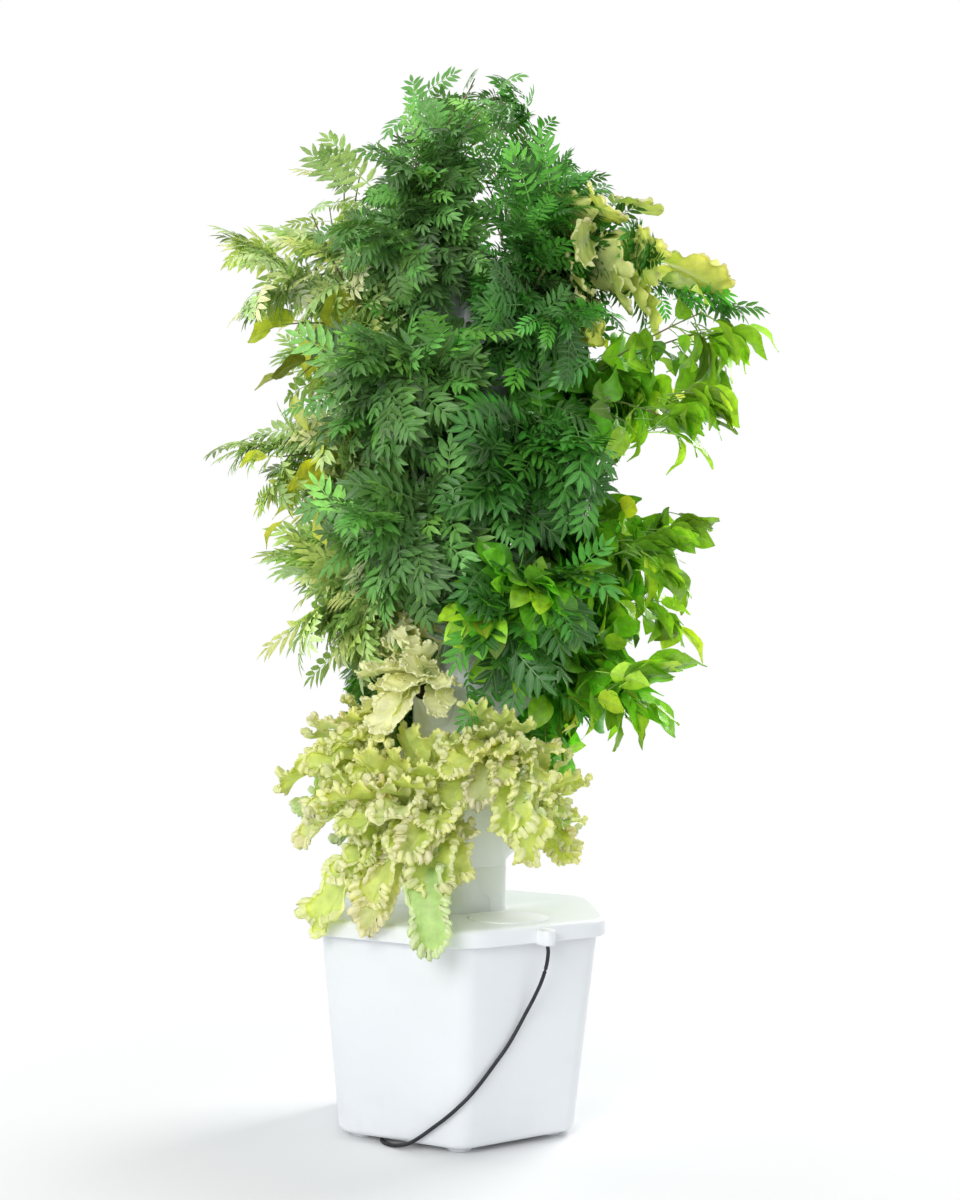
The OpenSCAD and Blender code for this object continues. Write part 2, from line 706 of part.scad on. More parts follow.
// One arched lettuce blade as a chain of flat segments, from the crown outwards; its row is
// [turn, climb, length share, droop], and it takes the largest size that stays in the plant's cell
module blade(k, row) {
    turn = row[0];
    l = row[2] * lettuce_leaf;
    parts = 3;
    widths = [0.04, 0.24, 0.42, 0.25];
    crown = mouth(k) + port_axis * crown_out;
    across = [-sin(turn), cos(turn), 0];
    function angle(i) = row[1] - row[3] * i / parts;
    function heading(a) = [cos(turn) * cos(a), sin(turn) * cos(a), sin(a)];
    function spine(i, f) = i == 0 ? crown : spine(i - 1, f) + f * l / parts * heading(angle(i - 0.5));
    function rim(i, f) =
        let (c = spine(i, f), w = across * widths[i] * f * l / 2, up = leaf_t / 2 * heading(angle(i) + 90))
        [c + w + up, c - w + up, c - w - up, c + w - up];
    function halfway(i, f) = (rim(i - 1, f) + rim(i, f)) / 2;
    fits = [for (f = leaf_sizes)
        if (all_in_cell([for (i = [1 : parts]) each rim(i, f)], k)
            && all_in_cell([for (i = [2 : parts]) each halfway(i, f)], k)) f];
    if (len(fits) > 0)
        for (i = [0 : parts - 1])
            hull()
                polyhedron(points = concat(rim(i, fits[0]), rim(i + 1, fits[0])), faces = box_faces);
}

module lettuce(k, head) {
    m = mouth(k);
    tube([m - port_axis * plug_h / 2, m, m + port_axis * crown_out], stem_d / 2, 4);
    translate(m + port_axis * crown_out)
        sphere(r = crown_r, $fn = 8);
    for (row = head)
        blade(k, row);
}

module plant(k, entry) {
    kind = entry[0];
    if (kind == "lettuce")
        lettuce(k, entry[1]);
    else {
        l = kind == "broad" ? broad_leaf : bush_leaf;
        wide = l * (kind == "broad" ? 0.62 : 0.58);
        shrub(k, kind, plant_reach * entry[1], plant_reach * entry[2], l, wide);
    }
}

module plants(k) {
    color(k < 3 ? "yellowgreen" : "forestgreen")
    union()
        for (j = [0 : ports - 1])
            rotate([0, 0, port_face(k) + 360 / ports * j])
                plant(k, planting[k - 1][j]);
}

module pump_block(y0, y1) {
    translate([-pump_w / 2, y0, pump_z])
        cube([pump_w, y1 - y0, pump_h]);
}

// Round bar along Y on the pump's axis
module pump_bar(d, y0, y1) {
    translate([0, y0, pump_axis_z])
        rotate([-90, 0, 0])
            cylinder(d = d, h = y1 - y0, $fn = fine);
}

module at_pump_feet() {
    for (x = [-1, 1], y = [motor_end + stud_in, front_len / 2 - stud_in])
        translate([x * (pump_w / 2 - stud_in), y, tub_floor_z])
            children();
}

module pump_body() {
    color("black")
    difference() {
        pump_block(motor_end, chamber_back);
        pump_bar(2 * (rotor_r + rotor_room), chamber_back - rotor_len - 1, chamber_back + eps);
        pump_bar(shaft_d, motor_end + shaft_inset, chamber_back);
        pump_bar(2 * gland_r0, motor_end - eps, motor_end + gland_seat);
        at_pump_feet()
            cylinder(d = stud_d, h = cup_foot_h + stud_h + eps, $fn = fine);
    }
}

module pump_front() {
    color("black")
    difference() {
        union() {
            pump_block(chamber_back, front_len / 2);
            translate([0, 0, pump_top - eps])
                cylinder(d = outlet_d, h = outlet_h + eps, $fn = fine);
        }
        pump_bar(2 * chamber_r, chamber_back - eps, chamber_front);
        translate([0, 0, pump_axis_z])
            cylinder(d = outlet_d - 5, h = pump_h, $fn = fine);
        pump_bar(shaft_d, 0, chamber_front + shaft_seat);
        for (i = [0 : intakes - 1]) {
            x = (i - (intakes - 1) / 2) * intake_pitch;
            translate([x - intake_w / 2, chamber_front - eps, slider_z + slider_h / 2 - intake_h + 1])
                cube([intake_w, front_len, intake_h]);
        }
        translate([-slider_w / 2 - touch, front_len / 2 - slider_t - touch, slider_z - touch])
            cube([slider_w + slider_travel + 2 * touch, slider_t + touch + eps, slider_h + 2 * touch]);
        at_pump_feet()
            cylinder(d = stud_d, h = cup_foot_h + stud_h + eps, $fn = fine);
    }
}

module pump_impeller() {
    vanes = 6;
    hub_r = 5;
    bore_d = shaft_d + 2 * run_gap;
    color("gray")
    difference() {
        union() {
            pump_bar(2 * rotor_r, chamber_back - rotor_len, chamber_back + 3);
            pump_bar(2 * impeller_r, chamber_back + 2, chamber_back + 5);
            pump_bar(2 * hub_r, chamber_back + 2, chamber_front - 1);
            translate([0, chamber_back + 4, pump_axis_z])
                for (a = [0 : 360 / vanes : 359])
                    rotate([0, a, 0])
                        translate([0, 0, -1])
                            cube([impeller_r - 0.5, chamber_len - 9, 2]);
        }
        pump_bar(bore_d, motor_end, front_len);
    }
}

module pump_shaft() {
    color("silver")
    pump_bar(shaft_d, motor_end + shaft_inset, chamber_front + shaft_seat);
}

module flow_slider() {
    grip = 2;
    edge = 4;
    color("dimgray")
    translate([-slider_w / 2, front_len / 2 - slider_t, slider_z])
        difference() {
            union() {
                cube([slider_w, slider_t, slider_h]);
                translate([2, slider_t - eps, 2])
                    cube([3, grip + eps, slider_h - 4]);
            }
            for (i = [0 : 2])
                translate([2 * edge + intake_pitch * i, -eps, edge])
                    cube([intake_w, slider_t + 2 * eps, slider_h - 2 * edge]);
        }
}

module pump_feet() {
    color("black")
    at_pump_feet()
        union() {
            cylinder(r1 = 9, r2 = 5, h = cup_foot_h, $fn = fine);
            cylinder(d = stud_d - 0.2, h = cup_foot_h + stud_h, $fn = fine);
        }
}

module pump_gland() {
    color("black")
    translate([0, motor_end, pump_axis_z])
        rotate([90, 0, 0])
            union() {
                translate([0, 0, -gland_seat])
                    cylinder(r = gland_r0, h = gland_seat + 1, $fn = fine);
                cylinder(r1 = gland_r0, r2 = gland_r1, h = gland_len, $fn = fine);
            }
}

module pump_lead() {
    color("black")
    tube(lead_route, cord_r, 8);
}

module cord_grommet() {
    thick = tub_wall + 6;
    y = -tub_top_af / 2 + tub_wall / 2 - thick / 2;
    color("black")
    difference() {
        translate([cord_x - notch_w / 2 + clear / 2, y, notch_z - notch_low + clear / 2])
            cube([notch_w - clear, thick, tub_h - notch_z + notch_low - clear]);
        translate([cord_x, y - eps, notch_z])
            rotate([-90, 0, 0])
                cylinder(d = cord_d + 2 * touch + 0.6, h = thick + 2 * eps, $fn = fine);
    }
}

module pipe(d, bore, z0, z1) {
    translate([0, 0, z0])
        difference() {
            cylinder(d = d, h = z1 - z0, $fn = fine);
            translate([0, 0, -eps])
                cylinder(d = bore, h = z1 - z0 + 2 * eps, $fn = fine);
        }
}

module outlet_sleeve() {
    color("black")
    pipe(riser_d + 2 * sleeve_wall, riser_d, pump_top, pump_top + sleeve_h);
}

module riser_lower() {
    color("lightgray")
    pipe(riser_d, riser_bore, pump_top, riser_joint_z);
}

module riser_coupling() {
    color("lightgray")
    pipe(riser_d + 2 * sleeve_wall, riser_d, riser_joint_z - coupling_h / 2, riser_joint_z + coupling_h / 2);
}

module riser_upper() {
    color("lightgray")
    pipe(riser_d, riser_bore, riser_joint_z, spray_z + spray_h / 2);
}

module spray_head() {
    wall = 3;
    holes = 12;
    color("white")
    difference() {
        union() {
            translate([0, 0, spray_z])
                cylinder(d = spray_d, h = spray_h, $fn = fine);
            translate([0, 0, spray_z - spray_collar])
                cylinder(d = riser_d + 2 * wall, h = spray_collar + wall, $fn = fine);
        }
        translate([0, 0, spray_z + wall])
            cylinder(d = spray_d - 2 * wall, h = spray_h, $fn = fine);
        translate([0, 0, spray_z - spray_collar - eps])
            cylinder(d = riser_d, h = spray_h, $fn = fine);
        for (a = [0 : 360 / holes : 359])
            rotate([0, 0, a])
                translate([spray_d / 2 - 10, 0, spray_z - eps])
                    cylinder(d = 5, h = wall + 2 * eps, $fn = fine);
    }
}

module power_cord() {
    color("black")
    tube(cord_route, cord_r, 8);
}

// The coil spirals in on the floor and out again on top, and climbs in the half turn where it reverses
coil_half = coil_turns / 2;
coil_angle0 = 180 - coil_start;
coil_count = round(coil_turns * coil_rings);
function coil_radius(u) = coil_r - coil_step * (u < coil_half ? u : coil_turns - u);
function coil_climb(u) = min(1, max(0, (u - coil_half) * 2 + 0.5));
function coil_point(u) =
    let (a = coil_angle0 - 360 * u, r = coil_radius(u))
    [coil_centre.x + r * cos(a), coil_centre.y + r * sin(a), coil_z + coil_step * coil_climb(u)];
coil_turn_points = [for (i = [0 : coil_count]) coil_point(i * coil_turns / coil_count)];
coil_last = coil_turn_points[coil_count];
coil_out = unit(coil_last - coil_turn_points[coil_count - 1]);
coil_end = coil_last + coil_out * coil_tail;
coil_route = concat([coil_first], coil_turn_points, [lerp(coil_last, coil_end, 0.6), coil_end]);
coil_least_gap = min([
    for (i = [0 : coil_count], j = [i + coil_rings / 2 : 1 : coil_count])
        norm(coil_turn_points[i] - coil_turn_points[j])
]) - cord_d;

module cord_coil() {
    echo(coil_least_gap = coil_least_gap);
    color("black")
    tube(coil_route, cord_r, 6);
}

module cord_tie() {
    band = 8;
    thick = 0.8;
    room = 0.5;
    in_r = coil_r - coil_step * coil_half - cord_r - room;
    out_r = coil_r + cord_r + room;
    low = coil_z - cord_r - room;
    high = coil_z + coil_step + cord_r + room;
    color("black")
    translate([coil_centre.x, coil_centre.y, 0])
        rotate([0, 0, -30])
            difference() {
                translate([in_r - thick, -band / 2, low - thick])
                    cube([out_r - in_r + 2 * thick, band, high - low + 2 * thick]);
                translate([in_r, -band, low])
                    cube([out_r - in_r, 2 * band, high - low]);
            }
}

module at_plug() {
    translate(coil_end)
        rotate([0, 0, atan2(coil_out.y, coil_out.x)])
            rotate([0, 90, 0])
                children();
}

module plug_body() {
    color("black")
    at_plug()
        difference() {
            union() {
                cylinder(r1 = cord_r + 1, r2 = 6, h = relief_len, $fn = fine);
                translate([0, 0, relief_len - 1])
                    cylinder(r = plug_r, h = plug_len - relief_len + 1, $fn = fine);
            }
            for (y = [-1, 1])
                translate([0, y * pin_apart / 2, plug_len - pin_seat])
                    cylinder(d = pin_d, h = pin_seat + eps, $fn = fine);
        }
}

module plug_pins() {
    color("silver")
    at_plug()
        for (y = [-1, 1])
            translate([0, y * pin_apart / 2, plug_len - pin_seat])
                cylinder(d = pin_d, h = pin_seat + pin_len, $fn = fine);
}

reservoir_tub();
reservoir_lid();
access_cover();
tower_foot();
tower_cap();
cord_grommet();
pump_body();
pump_front();
pump_impeller();
pump_shaft();
flow_slider();
pump_feet();
pump_gland();
pump_lead();
outlet_sleeve();
riser_lower();
riser_coupling();
riser_upper();
spray_head();
power_cord();
cord_coil();
cord_tie();
plug_body();
plug_pins();
for (k = tier_list)
    tower_section(k);
for (k = tier_list)
    net_cups(k);
for (k = tier_list)
    grow_plugs(k);
for (k = tier_list)
    plants(k);
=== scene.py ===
"""Looks of a floor-standing hydroponic tower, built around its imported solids, in metres.

The tub and lid are lofted six-sided shells, and the lead is a swept tube. Leaves are small surfaces: a few
shapes of each kind that are placed many times as whole arrays, and one of its own for each lettuce leaf.
"""

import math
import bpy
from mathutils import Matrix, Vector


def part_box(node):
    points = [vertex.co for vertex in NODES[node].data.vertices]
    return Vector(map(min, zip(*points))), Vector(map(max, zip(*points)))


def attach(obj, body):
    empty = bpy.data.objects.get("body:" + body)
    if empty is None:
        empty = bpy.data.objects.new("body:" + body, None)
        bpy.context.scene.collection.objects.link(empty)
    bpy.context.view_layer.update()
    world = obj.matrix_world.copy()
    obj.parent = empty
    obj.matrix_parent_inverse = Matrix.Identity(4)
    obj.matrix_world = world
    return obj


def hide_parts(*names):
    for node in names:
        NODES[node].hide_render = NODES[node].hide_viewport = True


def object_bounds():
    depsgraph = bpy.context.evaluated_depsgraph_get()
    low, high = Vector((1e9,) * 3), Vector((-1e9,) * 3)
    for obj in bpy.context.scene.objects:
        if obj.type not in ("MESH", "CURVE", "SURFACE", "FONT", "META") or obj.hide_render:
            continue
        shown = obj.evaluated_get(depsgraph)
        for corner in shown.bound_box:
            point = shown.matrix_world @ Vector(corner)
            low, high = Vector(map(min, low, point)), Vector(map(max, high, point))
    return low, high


bl_info = {
    "name": "Hydroponic tower",
    "version": (1, 0, 0),
    "blender": (4, 5, 0),
    "location": "View3D > Sidebar > Tower",
    "description": "Builds the finish, foliage, lead and stage of a hydroponic tower",
    "category": "Add Mesh",
}

import bmesh
import bpy
import numpy as np
from bpy.props import FloatProperty, FloatVectorProperty, IntProperty, PointerProperty
from mathutils import Matrix

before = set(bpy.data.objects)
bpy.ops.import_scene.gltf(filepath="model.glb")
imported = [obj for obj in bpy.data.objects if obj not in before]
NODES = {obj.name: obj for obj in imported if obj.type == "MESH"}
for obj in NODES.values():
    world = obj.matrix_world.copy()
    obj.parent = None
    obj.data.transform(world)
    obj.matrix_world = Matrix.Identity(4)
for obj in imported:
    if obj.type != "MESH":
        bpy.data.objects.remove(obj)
CAD_BOX = np.array(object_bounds())
# Planting sections, and ports round each of them
TIERS = 9
PORTS = 3


def node_box(name):
    """Lowest and highest corner of a CAD node, as arrays."""
    low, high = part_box(name)
    return np.array(low), np.array(high)


TUB_LOW, TUB_HIGH = node_box("reservoir_tub")
LID_LOW, LID_HIGH = node_box("reservoir_lid")
COVER_LOW, COVER_HIGH = node_box("access_cover")
CAP_LOW, CAP_HIGH = node_box("tower_cap")
CAP_AF = CAP_HIGH[1] - CAP_LOW[1]
FOOT_TOP = node_box("tower_foot")[1][2]
COLUMN_TOP = node_box(f"tower_section_{TIERS}")[1][2]
SECTION_H = (COLUMN_TOP - FOOT_TOP) / TIERS
COVER_CENTRE = (COVER_LOW + COVER_HIGH) / 2
COVER_R = (COVER_HIGH[0] - COVER_LOW[0]) / 2

# Widths across the flats, and the tilt and mouth of a port, as in the solids
COLUMN_AF = 0.172
LID_AF = 0.520
PORT_TILT = math.radians(45)
MOUTH_R = 0.1157
MOUTH_Z = 0.0797

# Room that leaves keep: round the lid, round the cap, down its skirt from the column's top, round the access
# cover, and above the cap and the cover as they lift
LID_CLEAR = 0.002
CAP_CLEAR = 0.006
CAP_SKIRT = 0.05
COVER_CLEAR = 0.004
LIFT = 0.066
# Share of a leaf that may hide in the column, and how far it may pass the box of the solids
SUNK_SHARE = 0.2
BOX_SPARE = 0.02
# Rounded top of the foliage: where it starts, its radius there, how fast it narrows, and its height
CROWN_Z = 1.78
CROWN_R = 0.225
CROWN_SLOPE = 0.5
CROWN_RISE = 0.175
# Turn between leaves on a stem, and the way to the backlit side, whose leaves get a paler colour as a painted
# backlight
GOLDEN = math.radians(137.5)
BACK_LIT = np.array([-0.87, 0.5, 0.0])


def length_setting(name, description, default):
    """Setting for a length."""
    return FloatProperty(name=name, description=description, default=default, unit="LENGTH")


def colour_setting(name, description, default):
    """Setting for a colour."""
    return FloatVectorProperty(name=name, description=description, default=default, subtype="COLOR")


class TubSettings(bpy.types.PropertyGroup):
    """Sizes and colour of the tub and its lid."""

    base_af: length_setting("Base width", "Across the flats at the floor", 0.416)
    wall: length_setting("Wall", "Wall thickness", 0.004)
    corner: length_setting("Corner", "Radius of the upright corners", 0.045)
    edge: length_setting("Bottom edge", "Radius of the bottom edge", 0.012)
    pad_h: length_setting("Foot height", "Height of the moulded feet", 0.010)
    pad_r: length_setting("Foot radius", "Radius of a moulded foot", 0.022)
    lid_corner: length_setting("Lid corner", "Radius of the lid's corners", 0.080)
    lid_edge: length_setting("Lid edge", "Radius of the lid's top edge", 0.009)
    lip_h: length_setting("Lip", "Depth of the turned-down lip", 0.030)
    white: colour_setting("White", "Colour of the moulded plastic", (0.84, 0.865, 0.885))


class FoliageSettings(bpy.types.PropertyGroup):
    """Leaf sizes and colours."""

    seed: IntProperty(name="Seed", description="Seed of all random draws", default=7)
    marigold_len: length_setting("Marigold leaf", "Length of a full leaf", 0.135)
    broad_len: length_setting("Broad leaf", "Length of a herb leaf", 0.085)
    lettuce_len: length_setting("Lettuce leaf", "Length of a full leaf", 0.215)
    marigold: colour_setting("Marigold", "Colour of old pinnate leaves", (0.016, 0.125, 0.010))
    marigold_tip: colour_setting("Marigold tip", "Colour of young pinnate leaves", (0.072, 0.33, 0.036))
    # Painted backlight: a paler colour blended into the pinnate leaves of plants that face the backlit side
    painted_backlight: colour_setting("Painted backlight", "Colour of pinnate leaves on the sunny side", (0.60, 0.84, 0.34))
    herb: colour_setting("Herb", "Colour of old broad leaves", (0.065, 0.42, 0.012))
    herb_tip: colour_setting("Herb tip", "Colour of young broad leaves", (0.36, 0.66, 0.03))
    lime: colour_setting("Lime", "Colour of the brightest broad leaves", (0.82, 0.92, 0.08))
    lettuce: colour_setting("Lettuce", "Colour of the frilly leaves", (0.90, 0.96, 0.27))
    butter: colour_setting("Butter lettuce", "Colour of the pale leaves", (0.97, 0.98, 0.52))
    grey: colour_setting("Grey lettuce", "Colour of the dull outer leaves", (0.56, 0.78, 0.34))
    blush: colour_setting("Blush", "Colour of the pinkish leaves", (0.88, 0.80, 0.46))


class CordSettings(bpy.types.PropertyGroup):
    """The mains lead."""

    diameter: length_setting("Diameter", "Diameter of the lead", 0.0065)
    turns: FloatProperty(name="Turns", description="Turns in the put-away coil", default=4.2)
    coil_r: length_setting("Coil radius", "Radius of the outer turn", 0.041)
    gap: length_setting("Gap", "Free gap between turns", 0.0007)


class StageSettings(bpy.types.PropertyGroup):
    """Camera, floor and light."""

    azimuth: FloatProperty(name="Azimuth", description="Camera's turn about the column", default=-33.29)
    distance: length_setting("Distance", "From the column's axis", 3.0)
    height: length_setting("Height", "Camera's height", 0.8127)
    tilt: FloatProperty(name="Tilt", description="Upward tilt in degrees", default=2.675)
    pan: FloatProperty(name="Pan", description="Turn to the right in degrees", default=0.665)
    roll: FloatProperty(name="Roll", description="Roll in degrees", default=0.8075)
    focal: FloatProperty(name="Focal length", description="In pixels of a 960 by 1200 frame", default=1613.6)


GROUPS = {"tub": TubSettings, "foliage": FoliageSettings, "cord": CordSettings, "stage": StageSettings}


def settings(name):
    """Settings group of that name on the scene."""
    return getattr(bpy.context.scene, "tower_" + name)


# Materials


class Finish:
    """One node material in the making."""

    def __init__(self, name):
        self.mat = bpy.data.materials.new(name)
        self.mat.use_nodes = True
        self.tree = self.mat.node_tree
        self.shader = self.tree.nodes["Principled BSDF"]
        self.coord = self.tree.nodes.new("ShaderNodeTexCoord")

    def add(self, kind, **values):
        """New node of a kind, with those properties."""
        node = self.tree.nodes.new("ShaderNode" + kind)
        for key, value in values.items():
            setattr(node, key, value)
        return node

    def feed(self, value, socket):
        """Links an output to a socket, or sets the socket to a value."""
        if isinstance(value, bpy.types.NodeSocket):
            self.tree.links.new(value, socket)
        else:
            socket.default_value = value

    def set(self, **values):
        """Feeds inputs of the main shader, with _ for a blank in their names."""
        for key, value in values.items():
            self.feed(value, self.shader.inputs[key.replace("_", " ")])

    def fill(self, node, values):
        """Sets or links sockets of a node, and gives the node back."""
        for socket, value in values.items():
            self.feed(value, node.inputs[socket])
        return node

    def noise(self, scale, detail=3.0, rough=0.5):
        """Cloudy noise in the space of the piece."""
        place = self.coord.outputs["Object"]
        values = {"Vector": place, "Scale": scale, "Detail": detail, "Roughness": rough}
        return self.fill(self.add("TexNoise"), values).outputs["Fac"]

    def math(self, operation, a, b=0.0, clamp=False):
        """Sum, product or other operation on values."""
        return self.fill(self.add("Math", operation=operation, use_clamp=clamp), {0: a, 1: b}).outputs[0]

    def spread(self, value, low, high, to_low=0.0, to_high=1.0):
        """Value stretched from one range to another, and kept in it."""
        values = {"Value": value, "From Min": low, "From Max": high, "To Min": to_low, "To Max": to_high}
        return self.fill(self.add("MapRange"), values).outputs[0]

    def blend(self, factor, a, b, mode="MIX"):
        """Two colours blended by a factor."""
        node = self.add("Mix", data_type="RGBA", blend_type=mode)
        for index, value in ((0, factor), (6, a), (7, b)):
            if isinstance(value, tuple) and len(value) == 3:
                value = (*value, 1.0)
            self.feed(value, node.inputs[index])
        return node.outputs[2]

    def bump(self, height, strength, distance):
        """Relief of the surface from a height."""
        node = self.fill(self.add("Bump"), {"Strength": strength, "Distance": distance, "Height": height})
        self.set(Normal=node.outputs[0])

    def scaled(self, colour, factor):
        """Colour times a value."""
        return self.fill(self.add("VectorMath", operation="SCALE"), {0: colour, "Scale": factor}).outputs[0]

    def mix_in(self, share, other):
        """Mixes a share of another shader into the surface."""
        mix = self.fill(self.add("MixShader"), {0: share, 1: self.shader.outputs[0], 2: other})
        self.feed(mix.outputs[0], self.tree.nodes["Material Output"].inputs["Surface"])

    def let_through(self, share):
        """Lets a share of the light through a thin leaf, in the colour of its surface."""
        through = self.add("BsdfTranslucent")
        base = self.shader.inputs["Base Color"].links[0].from_socket
        self.feed(self.blend(1.0, base, (1.0, 1.0, 0.55), "MULTIPLY"), through.inputs["Color"])
        self.mix_in(share, through.outputs[0])

    def attribute(self, name, output="Color"):
        """Values that the mesh holds under a name."""
        return self.add("Attribute", attribute_name=name).outputs[output]

    def split(self, coord):
        """The three values of a coordinate."""
        node = self.fill(self.add("SeparateXYZ"), {0: self.coord.outputs[coord]})
        return node.outputs[0], node.outputs[1], node.outputs[2]


def seen_by_camera(tree):
    """Value that is 1 for camera, glossy and transmitted rays, and 0 for the light that falls on things."""
    path = tree.nodes.new("ShaderNodeLightPath")
    seen = path.outputs["Is Camera Ray"]
    for name in ("Is Glossy Ray", "Is Transmission Ray"):
        either = tree.nodes.new("ShaderNodeMath")
        either.operation = "MAXIMUM"
        tree.links.new(seen, either.inputs[0])
        tree.links.new(path.outputs[name], either.inputs[1])
        seen = either.outputs[0]
    return seen


def shade(colour, factor):
    """Colour scaled by a factor."""
    return tuple(min(1.0, c * factor) for c in colour)


def white_plastic(name, colour, dust_top):
    """Satin moulded white: faint cloudy tone, fine orange-peel bump and a little dust below dust_top."""
    f = Finish(name)
    cloud = f.noise(5.0, 4.0)
    tone = f.blend(f.spread(cloud, 0.35, 0.65), shade(colour, 0.975), shade(colour, 1.02))
    speck = f.spread(f.noise(190.0, 2.0), 0.66, 0.74)
    low = f.spread(f.split("Object")[2], 0.0, dust_top, 0.5, 0.0)
    dust = f.math("MULTIPLY", low, f.spread(f.noise(22.0, 5.0), 0.45, 0.75))
    grime = f.math("MAXIMUM", f.math("MULTIPLY", speck, 0.05), f.math("MULTIPLY", dust, 0.35), True)
    f.set(Base_Color=f.blend(grime, tone, (0.52, 0.52, 0.48)))
    f.set(Roughness=f.spread(f.noise(40.0), 0.3, 0.7, 0.34, 0.46), Specular_IOR_Level=0.45)
    f.bump(f.noise(420.0, 2.0), 0.08, 0.0006)
    return f.mat


def dark_plastic(name, colour, rough):
    """Matte moulded plastic with a spark-eroded grain and slightly worn tone."""
    f = Finish(name)
    tone = f.blend(f.spread(f.noise(30.0, 4.0), 0.35, 0.7), shade(colour, 0.85), shade(colour, 1.35))
    f.set(Base_Color=tone, Roughness=f.spread(f.noise(90.0), 0.3, 0.7, rough - 0.06, rough + 0.08))
    f.bump(f.noise(900.0, 2.0), 0.15, 0.0004)
    return f.mat


def rubber(name, colour):
    """Black flexible sheath: low sheen, faint dust and fine drawn streaks."""
    f = Finish(name)
    tone = f.blend(f.spread(f.noise(60.0, 5.0), 0.5, 0.8), colour, shade(colour, 2.6))
    f.set(Base_Color=tone, Roughness=f.spread(f.noise(120.0), 0.3, 0.7, 0.42, 0.58), Specular_IOR_Level=0.4)
    f.bump(f.noise(1500.0, 2.0), 0.1, 0.0003)
    return f.mat


def steel(name, colour):
    """Bright turned steel with fine cross marks."""
    f = Finish(name)
    f.set(Base_Color=f.blend(f.noise(300.0), shade(colour, 0.8), colour), Metallic=1.0)
    f.set(Roughness=f.spread(f.noise(800.0, 2.0), 0.3, 0.7, 0.2, 0.38))
    f.bump(f.noise(2500.0, 1.0), 0.05, 0.0002)
    return f.mat


def foam(name, colour):
    """Open brown foam: strong pores in colour and bump."""
    f = Finish(name)
    pores = f.noise(420.0, 4.0, 0.7)
    tone = f.blend(f.spread(pores, 0.4, 0.62), shade(colour, 0.35), shade(colour, 1.4))
    f.set(Base_Color=tone, Roughness=0.95)
    f.bump(pores, 0.9, 0.002)
    return f.mat


def green_leaf(name, vein, rough):
    """Leaf in its own tint, with a paler midrib and side veins on its UV map and a mottled blade."""
    f = Finish(name)
    u, v, _ = f.split("UV")
    side = f.math("ABSOLUTE", f.math("SUBTRACT", u, 0.5))
    rib = f.spread(side, 0.015, 0.06, 1.0, 0.0)
    slant = f.math("SUBTRACT", f.math("MULTIPLY", v, 46.0), f.math("MULTIPLY", side, 34.0))
    veins = f.spread(f.math("SINE", slant), 0.75, 1.0)
    lines = f.math("MAXIMUM", rib, f.math("MULTIPLY", veins, 0.45), True)
    blade = f.scaled(f.attribute("tint"), f.spread(f.noise(70.0, 4.0), 0.3, 0.7, 0.78, 1.22))
    f.set(Base_Color=f.blend(f.math("MULTIPLY", lines, vein), blade, (0.40, 0.62, 0.20)))
    f.set(Roughness=f.spread(f.noise(160.0), 0.3, 0.7, rough - 0.08, rough + 0.1), Specular_IOR_Level=0.65)
    f.bump(f.math("SUBTRACT", f.noise(240.0, 3.0), f.math("MULTIPLY", lines, 0.8)), 0.35, 0.0012)
    f.let_through(0.2)
    return f.mat


def lettuce_leaf(name):
    """Lettuce in its own tint: painted shade as darker greens in its middle and foot, pale rib and veins, and
    a cream rim, whitened in part as a painted highlight and pinkish in places.
    """
    f = Finish(name)
    u, v, _ = f.split("UV")
    side = f.math("ABSOLUTE", f.math("SUBTRACT", u, 0.5))
    rib = f.math("MULTIPLY", f.spread(side, 0.02, 0.12, 1.0, 0.0), f.spread(v, 0.2, 0.8, 1.0, 0.1))
    slant = f.math("SUBTRACT", f.math("MULTIPLY", v, 30.0), f.math("MULTIPLY", side, 40.0))
    veins = f.math("MULTIPLY", f.spread(f.math("SINE", slant), 0.5, 1.0), 0.12)
    blade = f.scaled(f.attribute("tint"), f.spread(f.noise(38.0, 5.0, 0.6), 0.3, 0.7, 0.78, 1.26))
    outwards = f.attribute("tint", "Alpha")
    rim = f.spread(outwards, 0.25, 0.95)
    # Painted shade: the middle of the blade, away from the rim, and the foot by the stalk are blended to
    # darker greens for the shade deep in the head
    inner = f.math("MULTIPLY", f.spread(outwards, 0.1, 0.4, 0.35, 0.0), f.spread(v, 0.1, 0.5))
    foot = f.spread(v, 0.05, 0.42, 0.8, 0.0)
    with_inner_shade = f.blend(inner, blade, (0.40, 0.68, 0.20))
    with_foot_shade = f.blend(foot, with_inner_shade, (0.22, 0.52, 0.02))
    pale = f.blend(f.math("MAXIMUM", rib, veins, True), with_foot_shade, (0.74, 0.82, 0.46))
    blush = f.math("MULTIPLY", rim, f.spread(f.noise(9.0, 2.0), 0.58, 0.74))
    # Cream rim: partly the leaf's own pale edge, partly a painted highlight, whitened for light on the curls
    light = f.blend(f.math("MULTIPLY", rim, 0.68), pale, (1.0, 1.0, 0.74))
    f.set(Base_Color=f.blend(f.math("MULTIPLY", blush, 0.4), light, (0.80, 0.52, 0.36)))
    f.set(Roughness=f.spread(f.noise(120.0), 0.3, 0.7, 0.38, 0.55), Specular_IOR_Level=0.4)
    f.bump(f.noise(130.0, 4.0, 0.6), 0.5, 0.003)
    f.let_through(0.3)
    return f.mat


def stem_green(name, colour):
    """Green to reddish stem with lengthwise fibres."""
    f = Finish(name)
    tone = f.blend(f.spread(f.noise(25.0), 0.4, 0.65), colour, (0.20, 0.10, 0.05))
    f.set(Base_Color=tone, Roughness=0.55)
    f.bump(f.noise(600.0), 0.2, 0.0005)
    return f.mat


